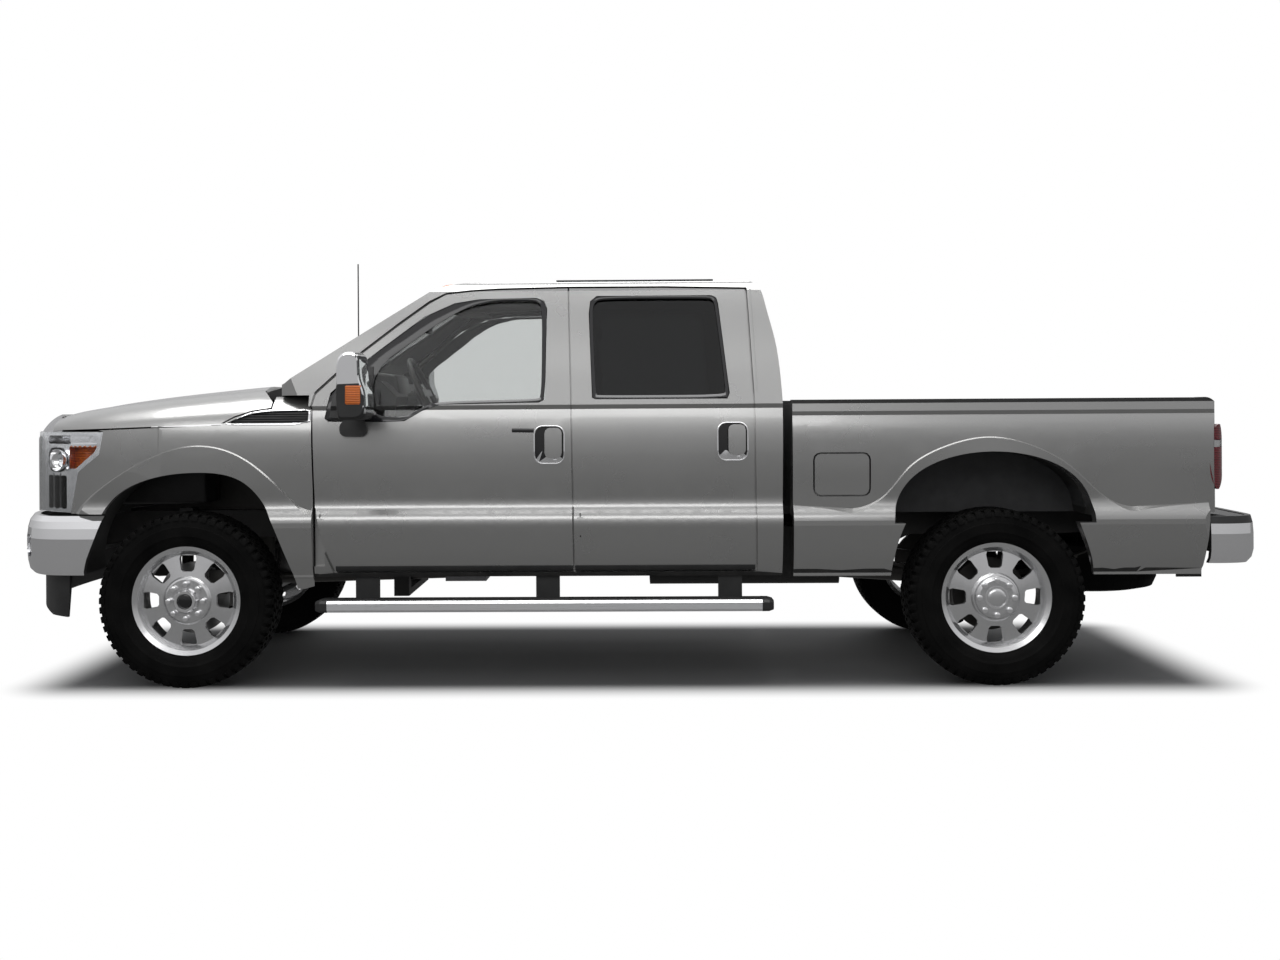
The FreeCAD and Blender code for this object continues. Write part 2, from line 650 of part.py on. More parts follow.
def build_headlamp():
    """A clear lens over a housing with its lamp wells: main beam, upper strip, lower bars and side marker."""
    reach = side_prism(-WIDE, -500, ("line", LAMP_REAR), ("line", [(-3100, 868), (-3100, 1268)]))
    beside = block(-3200, -2700, -690, 0, 800, 1400)
    lens = nose_layer(0, LENS, 864, 1264).common(reach).cut(beside)
    housing = nose_layer(LENS + SEAT_GAP, LAMP_DEPTH, 861, 1266).common(reach).cut(beside)
    wells = nose_layer(0, LAMP_DEPTH - 20, 800, 1400)
    outlines = [rounded(-2905, -2775, 1066, 1188, 40), rounded(-2905, -2600, 1206, 1248, 14),
                rounded(-2905, -2870, 884, 1050, 10), rounded(-2858, -2823, 884, 1050, 10),
                rounded(-2811, -2776, 884, 1050, 10), [(-2758, 1084), (-2722, 1084), (-2622, 1164), (-2608, 1190),
                                                       (-2758, 1190)]]
    for points in outlines:
        housing = housing.cut(wells.common(side_prism(-WIDE, -500, ("line", points))))
    return [lens, housing]


def build_grille():
    """A rounded surround with a middle post, three bays a side and slim upright bars across each bay."""
    side = [("curve", [(-2884, 1352), (-2938, 1320), (-3000, 1240), (-3050, 1120), (-3068, 1000), (-3062, 862)]),
            ("line", [(-2960, 862), (-2940, 1100), (-2884, 1262)])]
    shell = side_prism(-690, 690, *side)
    plan = plan_prism(800, 1400, ("curve", [(-3005, -690), (-3045, -500), (-3072, 0), (-3045, 500), (-3005, 690)]),
                      ("line", [(-2700, 690), (-2700, -690)]))
    shell = shell.common(plan)
    bays, bars = [], []
    for s in (-1, 1):
        for low, high in ((896, 986), (1014, 1104), (1132, 1222)):
            bays.append(block(-3200, -2850, min(s * 36, s * 628), max(s * 36, s * 628), low, high))
            for step in range(8):
                y = s * (70 + 74 * step)
                bars.append(block(-3012 + (high - 896) * 0.12, -2990 + (high - 896) * 0.12, y - 4, y + 4,
                                  low - 2, high + 2))
    return fuse(cut(shell, *bays), bars)


BUMPER_PLAN = [(-2570, -1002), (-2760, -1000), (-2890, -965), (-2965, -895), (-3040, -760), (-3100, -480),
               (-3134.5, 0), (-3100, 480), (-3040, 760), (-2965, 895), (-2890, 965), (-2760, 1000), (-2570, 1002)]


BUMPER_LEVELS = [(560, 34), (580, 14), (620, 5), (680, 0), (740, 0), (790, 6), (825, 16), (852, 36)]
FOG_LAMP = (-2998, -842)
FOG_TURN = 61


def ring_wire(curve, near, far, z):
    """A closed outline at one height between two depths under a plan curve."""
    return closed_wire([("curve", [v(x, y, z) for x, y in offset(curve, near)]),
                        ("curve", [v(x, y, z) for x, y in offset(curve, far)[::-1]])])


def fog_tool(near, far, wide, high):
    """A rounded prism along the bumper corner's own normal."""
    outline = rounded(-wide / 2, wide / 2, 700 - high / 2, 700 + high / 2, 24)
    tool = side_prism(near, far, ("line", outline))
    tool.rotate(v(0, 0, 0), v(0, 0, 1), -FOG_TURN)
    tool.translate(v(FOG_LAMP[0], FOG_LAMP[1], 0))
    return tool


def build_front_bumper():
    """A rolled steel face bar with fog-lamp and tow openings, its lower flange and its brackets."""
    band = Part.makeLoft([ring_wire(BUMPER_PLAN, depth, depth + 30, z) for z, depth in BUMPER_LEVELS], True, True)
    ends = side_prism(-WIDE, WIDE, ("line", [(-2570, 852), (-2610, 740), (-2650, 640), (-2672, 560), (-3200, 560),
                                             (-3200, 852)]))
    well = fog_tool(-60, 80, 128, 108)
    lamp = fog_tool(26, 62, 146, 126)
    middle = block(-3200, -3000, -330, 330, 610, 680)
    brackets = [block(-3085, -2900, s * 405 - 30, s * 405 + 30, 700, 780) for s in (-1, 1)]
    lip = [(-2760, -880), (-2850, -800), (-2930, -690), (-2990, -440), (-3010, 0)]
    lip += [(x, -y) for x, y in lip[-2::-1]]
    flange = plan_prism(560, 568, ("curve", offset(BUMPER_PLAN, 46)), ("line", lip[::-1]))
    flange = flange.common(block(-3200, -2760, -WIDE, WIDE, 500, 600))
    return fuse(cut(band.common(ends), middle, well, mirror(well)), flange, brackets, lamp, mirror(lamp))


def build_valance():
    plan = [(-2770, -900), (-2860, -850), (-2950, -740), (-3020, -480), (-3040, 0), (-3020, 480), (-2950, 740),
            (-2860, 850), (-2770, 900)]
    band = plan_band(plan, 20, 340, 560)
    bound = side_prism(-WIDE, WIDE, ("line", [(-2760, 560), (-2780, 345), (-2880, 350), (-3100, 440), (-3100, 560)]))
    return band.common(bound)


def build_liner(fender):
    """A wheel-house skin round the top of a front wheel."""
    outer = side_prism(-942, -600, ("curve", [(-2700, 560), (-2640, 860), (-2420, 1050), (-2117, 1096), (-1850, 1050),
                                              (-1710, 860), (-1640, 600)]))
    inner = side_prism(-1000, -500, ("curve", [(-2690, 550), (-2632, 852), (-2414, 1042), (-2117, 1088), (-1856, 1042),
                                               (-1718, 856), (-1650, 590)]))
    apron = side_prism(-604, -600, ("line", [(-2780, 900), (-2780, 1240), (-1560, 1240), (-1560, 900)]))
    bumper_room = block(-2800, -2560, -WIDE, -930, 540, 856)
    return fuse(outer.cut(inner), apron.cut(inner)).cut(fender).cut(bumper_room)


def build_cowl():
    """The panel between the hood's rear edge and the windscreen, seated on the cab, with the hood's hinge pins."""
    rear = CAB_FRONT - SEAT_GAP
    side = [("line", [(-1876, 1420), (-1876, 1441), (-1800, 1458), (rear, 1482), (rear, 1420)])]
    behind_hood = plan_prism(1400, 1500, ("curve", moved(HOOD_REAR, GAP)), ("line", [(rear, 880), (rear, -880)]))
    panel = side_prism(-800, 800, *side).common(behind_hood)
    for s in (-1, 1):
        y = s * HOOD_HINGE_Y
        slot = block(-1900, -1724, y - 12, y + 12, 1400, 1500)
        pin = bar(v(HOOD_HINGE[0], y - 20, HOOD_HINGE[1]), v(HOOD_HINGE[0], y + 20, HOOD_HINGE[1]), HINGE_PIN)
        panel = fuse(panel.cut(slot), pin)
    return panel


STEP_BAR = [(596, 34), (622, 10), (660, 0), (740, 0), (790, 4), (826, 14)]


def build_rear_bumper():
    """A step bumper with a rolled face, a flat top step, a plate recess and the ball's hole."""
    plan = [(2830, -990), (2960, -985), (3040, -945), (3095, -760), (3115, -400), (3120, 0), (3115, 400),
            (3095, 760), (3040, 945), (2960, 985), (2830, 990)]
    band = Part.makeLoft([ring_wire(plan, -depth, -depth - 30, z) for z, depth in STEP_BAR], True, True)
    deck = plan_prism(796, 822, ("curve", offset(plan, -24)[1:-1]),
                      ("line", [(2940, 900), (2905, 700), (2905, -700), (2940, -900)]))
    plate_recess = block(3080, 3200, -170, 170, 640, 790)
    ball = bar(v(3040, 0, 700), v(3040, 0, 900), size("ball_hole_radius"))
    brackets = [block(2930, 3095, s * 405 - 30, s * 405 + 30, 720, 796) for s in (-1, 1)]
    return cut(fuse(cut(band, plate_recess), deck, brackets), ball)


def build_hitch():
    outer, inner = size("receiver_outer") / 2, size("receiver_inner") / 2
    z = 500
    tube = block(2940, REAR, -outer, outer, z - outer, z + outer)
    cross = block(2930, 2990, -450, 450, z - 30, z + 30)
    plates = [block(2860, 2990, s * 445 - 5, s * 445 + 5, z - 30, 780) for s in (-1, 1)]
    socket = block(2990, REAR + 10, -inner, inner, z - inner, z + inner)
    pin = bar(v(REAR - 70, -60, z), v(REAR - 70, 60, z), size("pin_hole_radius"))
    return cut(fuse(tube, cross, plates), socket, pin)


def build_step():
    """A running board: a rolled face, a flat tread, moulded end caps and three brackets to the sill."""
    def outline(x, shrink):
        points = [(-1036, 392), (-1037, 424), (-1026, 436), (-890, 436), (-880, 404), (-1000, 379), (-1024, 380)]
        cy, cz = -960, 410
        return closed_wire([("line", [v(x, cy + (y - cy) * shrink, cz + (z - cz) * shrink) for y, z in points])])

    board = Part.Face(outline(-1462, 1)).extrude(v(2117, 0, 0))
    caps = [Part.makeLoft([outline(base, 1.02), outline(base + run * 0.6, 1.0), outline(base + run, 0.8)], True, True)
            for base, run in ((-1462, -59), (655, 56))]
    brackets = [block(x - 58, x + 58, -930, -900, 430, 545) for x in (-1280, -390, 506)]
    return fuse(board, caps, brackets)


MIRROR_OUTLINE = [(-1348, 1326), (-1357, 1400), (-1357, 1480), (-1355, 1560), (-1342, 1622), (-1295, 1643),
                  (-1256, 1632), (-1243, 1580), (-1234, 1500), (-1217, 1450), (-1213, 1390), (-1222, 1334),
                  (-1262, 1318), (-1315, 1318)]


def closed_curve(points):
    curve = Part.BSplineCurve()
    curve.interpolate(points, PeriodicFlag=True)
    return Part.Wire([curve.toShape()])


def build_mirror():
    """A tall towing mirror: rounded head, two arms and the sail plate in the window's corner."""
    cx, cz = -1286, 1480
    sections = [(-1330, 0.80), (-1322, 0.90), (-1300, 0.97), (-1260, 1.0), (-1120, 1.0), (-1085, 0.97), (-1066, 0.90),
                (-1060, 0.82)]
    head = Part.makeLoft([closed_curve([v(cx + (x - cx) * k, y, cz + (z - cz) * (1 - (1 - k) * 0.5))
                                        for x, z in MIRROR_OUTLINE]) for y, k in sections], True, True)
    arms = [block(-1322, -1268, -1075, reach, z, z + 42) for z, reach in ((1372, -956), (1500, -906))]
    sail = side_layer(-1500, -1250, -12, 20)
    sail = sail.common(side_prism(-WIDE, -500, ("line", [(-1455, 1330), (-1440, 1440), (-1290, 1585), (-1252, 1580),
                                                         (-1240, 1560), (-1246, 1330), (-1258, 1318)])))
    foot = side_layer(-1420, -1260, -26, 4).common(
        side_prism(-WIDE, -500, ("line", rounded(-1402, -1268, 1236, 1312, 30))))
    bridge = side_layer(-1400, -1280, -12, 4).common(block(-1390, -1282, -WIDE, -500, 1290, 1345))
    return fuse(head, arms, sail, foot, bridge)


def build_tail_lamp():
    """An upright lamp that wraps round the bed's rear corner."""
    shape = side_prism(-990, -800, ("curve", [(2878, 1272), (2842, 1225), (2830, 1110), (2842, 1000), (2868, 956)]),
                       ("line", [(2880, 956)]),
                       ("curve", [(2880, 956), (2908, 1010), (2918, 1110), (2910, 1210), (2892, 1272)]))
    return shape.common(plan_prism(900, 1300, ("curve", [(2800, -978), (2840, -974), (2880, -958), (2908, -925),
                                                         (2922, -880), (2926, -800)]), ("line", [(2800, -800)])))


FUEL_DOOR = (918, 1183, 938, 1138)


def rounded(x0, x1, z0, z1, corner):
    """A rounded rectangle's outline in (x, z)."""
    points = []
    for cx, cz, start in ((x1 - corner, z1 - corner, 0), (x0 + corner, z1 - corner, 90),
                          (x0 + corner, z0 + corner, 180), (x1 - corner, z0 + corner, 270)):
        for step in range(4):
            angle = math.radians(start + 30 * step)
            points.append((cx + corner * math.cos(angle), cz + corner * math.sin(angle)))
    return points


def bed_layer(near, far):
    """The bed's side wall between two depths under its outer surface."""
    return section_prism(800, 2900, ("curve", left(inset(BED_SIDE, near))), ("line", left(inset(BED_RIM, near))),
                         ("line", left(inset(BED_RIM, far))[::-1]), ("curve", left(inset(BED_SIDE, far))[::-1]))


FUEL_HINGE = (978, -958)
FUEL_POCKET = 90


def build_fuel_door():
    """The fuel flap with its hinge barrel behind it."""
    x0, x1, z0, z1 = FUEL_DOOR
    flap = bed_layer(0, 6).common(side_prism(-WIDE, -500, ("line", rounded(x0, x1, z0, z1, 30))))
    x, y = FUEL_HINGE
    barrel = bar(v(x, y, 1012), v(x, y, 1064), 5)
    web = block(x - 4, x + 4, y - 12, y, 1012, 1064)
    bore = bar(v(x, y, 1000), v(x, y, 1080), 2.5 + RUNNING_CLEARANCE)
    return fuse(flap, barrel, web).cut(bore)


def fuel_hinge_stand():
    """Two ears on the pocket's floor with the pin between them."""
    x, y = FUEL_HINGE
    ears = [block(x - 5, x + 5, y, -870, z, z + 8) for z in (1002, 1066)]
    return fuse(ears, bar(v(x, y, 1002), v(x, y, 1074), 2.5))


def fuel_pocket():
    x0, x1, z0, z1 = FUEL_DOOR
    return bed_layer(-20, FUEL_POCKET).common(
        side_prism(-WIDE, -500, ("line", rounded(x0 - GAP, x1 + GAP, z0 - GAP, z1 + GAP, 36))))


def build_bed():
    """Floor, walls, front wall and wheel housings of the load bed with its outer sides."""
    floor_top = size("bed_floor_height")
    bottom = 541
    front, rear = 812, 2866
    wall = [("curve", left(BED_SIDE)), ("line", left(BED_RIM)), ("line", [(-840, 1384), (-840, 560), (-955, 545)])]
    left_wall = section_prism(front, rear, *wall)
    left_wall = left_wall.cut(block(front - 10, rear + 10, -940, -830, 500, floor_top - 60))
    low_run = [(2822, 892), (2822, 700), (2790, 575), (2262, 545), (1289, 541), (front, bottom), (front, 888)]
    plate = raised_plate(REAR_FLARE, low_run, 940, 1012, 46).common(lower_bound(front, 2900))
    side = fuse(left_wall, plate)
    side = side.cut(side_prism(-WIDE, -845, ("curve", REAR_ARCH)))
    side = side.cut(side_prism(-WIDE, -500, ("line", [(2822, 845), (2822, 800), (2782, 500), (2950, 500),
                                                      (2950, 845)])))
    tub_outer = side_prism(-960, -640, ("curve", [(1290, 830), (1400, 1050), (1600, 1140), (1784, 1160), (1970, 1140),
                                                  (2170, 1050), (2280, 830)]))
    tub_inner = side_prism(-1100, -655, ("curve", [(1300, 800), (1412, 1040), (1606, 1126), (1784, 1146), (1964, 1126),
                                                   (2158, 1040), (2270, 800)]))
    tub = tub_outer.cut(tub_inner)
    side = fuse(side.cut(tub_inner), tub)
    corner_round = plan_prism(400, 1500, ("curve", [(2780, -1016), (2820, -1000), (2850, -975), (2866, -942)]),
                              ("line", [(2900, -942), (2900, -1100), (2780, -1100)]))
    side = side.cut(corner_round)
    floor = block(front, 2796, -860, 860, floor_top - BED_FLOOR, floor_top)
    ribs = [block(front + 90, 2740, y - 20, y + 20, floor_top - 8, floor_top + 5)
            for y in range(-550, 551, 120) if y]
    floor = cut(floor, *ribs)
    corner = block(2790, rear, -860, -775, floor_top - BED_FLOOR, 1384)
    pin = bar(v(GATE_HINGE[0], -800, GATE_HINGE[1]), v(GATE_HINGE[0], -740, GATE_HINGE[1]), GATE_PIN)
    side = fuse(side, corner, pin).cut(build_tail_lamp()).cut(fuel_pocket())
    side = fuse(side, fuel_hinge_stand())
    hole = block(1310, 2260, -1000, -655, 500, 900)
    floor = cut(floor, hole, mirror(hole))
    front_wall = block(front, front + 50, -850, 850, floor_top - BED_FLOOR, 1384)
    return fuse(both(side), floor, front_wall)


BED_FLOOR = 25
GATE_HINGE = (2846, 892)
GATE_PIN = 8


def build_tailgate():
    """A tailgate with a pressed field, a handle well and a lipped top edge."""
    face = [(2900, 1398), (2898, 1300), (2890, 1150), (2882, 1000), (2876, 862)]
    side = [("line", [(2816, 862), (2816, 1384), (2838, 1404), (2900, 1398)]), ("curve", face)]
    gate = side_prism(-767, 767, *side)
    bore = bar(v(GATE_HINGE[0], -800, GATE_HINGE[1]), v(GATE_HINGE[0], -735, GATE_HINGE[1]),
               GATE_PIN + RUNNING_CLEARANCE)
    pressed = side_prism(-640, 640, ("curve", moved(face, -8)), ("line", [(2950, 862), (2950, 1398)]))
    pressed = pressed.common(block(2800, 2960, -640, 640, 950, 1240))
    well = block(2872, 2960, -120, 120, 1270, 1340)
    lever = block(2868, 2888, -104, 104, 1302, 1332)
    return fuse(cut(gate, bore, mirror(bore), pressed, well), lever)


RIM_SEAT = size("rim_seat")
SPINDLE = size("spindle_radius")
RUNNING_CLEARANCE = 0.05
HUB_SEAT = size("hub_seat")
HUB_GAP = 5.5
SPINDLE_REACH = 37


TYRE_SIDES = 48


def faceted_ring(profile, centre, axis_up=False):
    """A ring of flat sectors round a centre, from a closed run of (radius, offset along the axis)."""
    reach = 1 / math.cos(math.pi / TYRE_SIDES)
    faces = []
    for (r0, t0), (r1, t1) in zip(profile, profile[1:] + profile[:1]):
        for step in range(TYRE_SIDES):
            corners = []
            for r, t, turn in ((r0, t0, step), (r1, t1, step), (r1, t1, step + 1), (r0, t0, step + 1)):
                angle = 2 * math.pi * (turn % TYRE_SIDES + 0.5) / TYRE_SIDES - math.pi / 2
                c, s = r * reach * math.cos(angle), r * reach * math.sin(angle)
                corners.append(centre + (v(c, s, t) if axis_up else v(c, t, s)))
            faces.append(Part.Face(Part.makePolygon(corners + corners[:1])))
    shell = Part.makeShell(faces)
    shell.sewShape()
    solid = Part.Solid(shell)
    if solid.Volume < 0:
        solid.reverse()
    return solid


def build_tyre(x, y):
    """A road tyre: flat tread, rounded shoulders, bulged walls and beads on the rim's seat."""
    half = size("tyre_width") / 2
    outer = [(RADIUS, 98), (RADIUS - 20, 122), (RADIUS - 70, half), (276, 116), (270, 94)]
    profile = [(r, -t) for r, t in outer[::-1]] + outer + [(RIM_SEAT, 90), (RIM_SEAT, -90)]
    return faceted_ring(profile, v(x, y, RADIUS))


def build_rim(label, x, track, cap):
    """The left wheel: a turned section, eight windows cut through it and patterned round the hub."""
    rim, seat, bore = "sizes.rim_radius", "sizes.rim_seat", f"sizes.spindle_radius + {RUNNING_CLEARANCE}"
    section = [(rim, -108), (rim, -96), (seat, -92), (seat, 92), (rim, 96), (rim, 108), (246, 100), (240, -40),
               (130, -58), (110, "-sizes.hub_seat"), (bore, "-sizes.hub_seat"), (bore, -44), (0, -44)]
    section += cap + [(112, -92), (120, -84), (225, -70), (246, -96)]
    body = doc.addObject("PartDesign::Body", label)
    turned = body.newObject("PartDesign::Revolution", f"{label}_turned")
    turned.Profile = outline_sketch(body, "XY_Plane", f"{label}_section", section)
    turned.ReferenceAxis = (turned.Profile[0], ["V_Axis"])
    turned.Angle = 360
    doc.recompute()
    inner, outer, wide = "sizes.window_inner", "sizes.window_outer", "sizes.window_width / 2"
    window = [(f"-{wide} * 0.5", inner), (f"-{wide} * 0.78", f"{inner} + 10"), (f"-{wide}", f"{outer} - 16"),
              (f"-{wide} * 0.88", outer), (f"{wide} * 0.88", outer), (wide, f"{outer} - 16"),
              (f"{wide} * 0.78", f"{inner} + 10"), (f"{wide} * 0.5", inner)]
    before = body.Shape.Volume
    pocket = body.newObject("PartDesign::Pocket", f"{label}_window")
    pocket.Profile = outline_sketch(body, "XZ_Plane", f"{label}_window_outline", window)
    pocket.Type = 1
    pocket.Midplane = True
    doc.recompute()
    if body.Shape.Volume > before - 1000:
        raise SystemExit(f"{label}'s window cuts nothing")
    ring = body.newObject("PartDesign::PolarPattern", f"{label}_windows")
    ring.Originals = [pocket]
    ring.Axis = (origin_of(body, "Y_Axis"), [""])
    ring.Angle = 360
    ring.setExpression("Occurrences", "sizes.wheel_windows")
    body.Tip = ring
    bound(body, x=x, y=f"-{track} / 2", z="sizes.tyre_radius")
    return keep(label, body)


# The wheels' middles: the front hub stands through its wheel, the rear one is under a flat cap.
FRONT_CAP = [(0, -118), (36, -118), (38, -133), (53, -133), (60, -122), (62, -98), (104, -97)]
REAR_CAP = [(0, -112), (84, -112), (101, -106), (106, -94)]


SPRING_SEAT = 485
KINGPIN = 12


def build_front_axle():
    z = RADIUS
    tube = bar(v(FRONT_AXLE, -680, z), v(FRONT_AXLE, 680, z), size("axle_tube_radius"))
    diff = Part.makeSphere(128, v(FRONT_AXLE, -200, z))
    yokes = [block(FRONT_AXLE - 35, FRONT_AXLE + 35, s * 725 - 60, s * 725 + 60, z + dz - 14, z + dz + 14)
             for s in (-1, 1) for dz in (-105, 105)]
    posts = [block(FRONT_AXLE - 35, FRONT_AXLE + 35, s * 675 - 15, s * 675 + 15, z - 119, z + 119) for s in (-1, 1)]
    seats = [bar(v(FRONT_AXLE, s * 540, z + 20), v(FRONT_AXLE, s * 540, SPRING_SEAT), 75) for s in (-1, 1)]
    ears = [block(FRONT_AXLE - 155, FRONT_AXLE, s * 520 - 20, s * 520 + 20, z - 13, 480) for s in (-1, 1)]
    pins = [bar(v(FRONT_AXLE, s * size("kingpin_offset"), 0), v(FRONT_AXLE, s * size("kingpin_offset"), 900),
                KINGPIN + RUNNING_CLEARANCE) for s in (-1, 1)]
    return cut(fuse(tube, diff, yokes, posts, seats, ears), *pins)


DISC = (800, 832)


def build_knuckle():
    """The left knuckle: kingpin, spindle, hub, brake disc with its caliper, and the steering arm with its eye."""
    x, y, z, track = "sizes.front_overhang - sizes.overall_length / 2", "sizes.kingpin_offset", "sizes.tyre_radius", \
        "sizes.front_track / 2"
    hub_end = f"({track} + sizes.hub_seat - {HUB_GAP})"
    pieces = [
        sized_box("knuckle_post", Length=64, Width=40, Height=170, x=f"{x} - 32", y=f"-{y} - 20", z=f"{z} - 85"),
        sized_rod("knuckle_spindle", "Y", Radius="sizes.spindle_radius", Height=f"{track} + {SPINDLE_REACH} - {y}",
                  x=x, y=f"-{track} - {SPINDLE_REACH}", z=z),
        sized_rod("knuckle_disc", "Y", Radius=178, Height=DISC[1] - DISC[0], x=x, y=-DISC[1], z=z),
        sized_box("knuckle_caliper", Length=90, Width=80, Height=120, x=f"{x} + 80", y=-DISC[1] - 24, z=f"{z} + 20"),
        sized_box("knuckle_arm", Length="sizes.steering_arm + 22", Width=44, Height=25, x=x, y=f"-{y} - 22",
                  z=f"{z} - 85"),
        sized_rod("knuckle_hub", "Y", Radius="sizes.hub_radius", Height=f"{hub_end} - {DISC[1]}", x=x,
                  y=f"-{hub_end}", z=z),
        sized_rod("knuckle_kingpin", "Z", Radius=KINGPIN, Height=238, x=x, y=f"-{y}", z=f"{z} - 119")]
    eye = sized_rod("knuckle_eye", "Z", Radius=f"sizes.stud_radius + {RUNNING_CLEARANCE}", Height=600,
                    x=f"{x} + sizes.steering_arm", y=f"-{y}", z=0)
    return keep("knuckle_left", less("knuckle_left", joined("knuckle_solid", pieces), eye))


def build_tie_rod():
    """The rod between the steering arms, with a ball stud up through each arm."""
    x = "sizes.front_overhang - sizes.overall_length / 2 + sizes.steering_arm"
    reach = "sizes.kingpin_offset"
    rod = sized_rod("tie_rod_bar", "Y", Radius="sizes.rod_radius", Height=f"2 * ({reach} + sizes.rod_radius)", x=x,
                    y=f"-{reach} - sizes.rod_radius", z="sizes.rod_height")
    studs = [sized_rod(f"tie_rod_stud_{side}", "Z", Radius="sizes.stud_radius",
                       Height="sizes.tyre_radius - 56 - sizes.rod_height", x=x, y=f"{sign} * {reach}",
                       z="sizes.rod_height") for side, sign in (("left", -1), ("right", 1))]
    return keep("tie_rod", joined("tie_rod", [rod] + studs))


def build_rails():
    """Two box rails, kicked up over both axles."""
    outer = size("rail_half_width")
    low, high = size("rail_bottom"), size("rail_bottom") + size("rail_depth")
    top = size("bed_floor_height") - BED_FLOOR
    rail = side_prism(-outer, -outer + size("rail_width"), ("line", [
        (-2900, 640), (-2900, 800), (-2600, 840), (-1850, 840), (-1560, high), (1150, high), (1420, top),
        (2796, top), (2796, 800), (2930, 790), (2930, 720), (2250, 700), (1480, 700), (1200, low), (-1500, low),
        (-1800, 700), (-2560, 700)]))
    out = -outer - 170
    brackets = [block(-2330, -2262, -540, -outer, 800, 860), block(-2240, -2092, out, -outer, 800, 812),
                block(1130, 1170, out, -outer, 640, 700), block(2430, 2470, out, -outer, 670, 720),
                block(1970, 2030, -515, -outer, 800, 830)]
    return both(fuse(rail, brackets))


def build_interior():
    dash = side_prism(-800, 800, ("line", [(-1490, 1440), (-1470, 1472), (-1380, 1512), (-1230, 1510), (-1150, 1430),
                                          (-1170, 1250), (-1250, 1130), (-1490, 1130)]))
    console = block(-1170, -420, -150, 150, 760, 1080)
    centre = v(-1060, -400, 1450)
    axis = v(0.906, 0, 0.423)
    column = fuse(bar(centre - axis * 265, centre - axis * 51, 38), bar(centre - axis * 265, centre - axis * 11, 10))
    add("dashboard", fuse(dash, column, console.cut(block(-1170, -420, -130, 130, 1060, 1090))))
    seats = []
    for s in (-1, 1):
        y = s * 400
        cushion = block(-860, -330, y - 240, y + 240, 960, 1180)
        back = side_prism(y - 235, y + 235, ("line", [(-390, 1130), (-240, 1130), (-130, 1650), (-250, 1670)]))
        head = side_prism(y - 130, y + 130, ("line", [(-250, 1690), (-150, 1690), (-120, 1850), (-220, 1860)]))
        post = bar(v(-195, y, 1640), v(-180, y, 1700), 20)
        base = block(-800, -380, y - 200, y + 200, 760, 965)
        seats.append(fuse(cushion, back, head, post, base))
    bench = block(60, 560, -720, 720, 960, 1150)
    rest = side_prism(-720, 720, ("line", [(500, 1100), (620, 1100), (655, 1680), (560, 1690)]))
    stand = block(120, 540, -680, 680, 760, 965)
    seats.append(fuse(bench, rest, stand))
    add("seats", seats)
    grip = [v(190 + 15 * math.cos(math.pi * step / 4), 0, 15 * math.sin(math.pi * step / 4)) for step in range(8)]
    rim = Part.Face(Part.makePolygon(grip + grip[:1])).revolve(v(0, 0, 0), v(0, 0, 1), 360)
    spoke = Part.makeBox(40, 376, 16, v(-20, -188, -8))
    hub = Part.makeCylinder(55, 50, v(0, 0, -45))
    turn = FreeCAD.Rotation(v(0, 0, 1), axis)
    wheel = []
    for piece in (rim, spoke, hub):
        piece.Placement = FreeCAD.Placement(centre, turn)
        wheel.append(piece)
    shaft = bar(centre - axis * 265, centre - axis * 9, 10 + RUNNING_CLEARANCE)
    add("steering_wheel", fuse(wheel).cut(shaft))


SPARE_X = 2475
SPARE_Z = 510


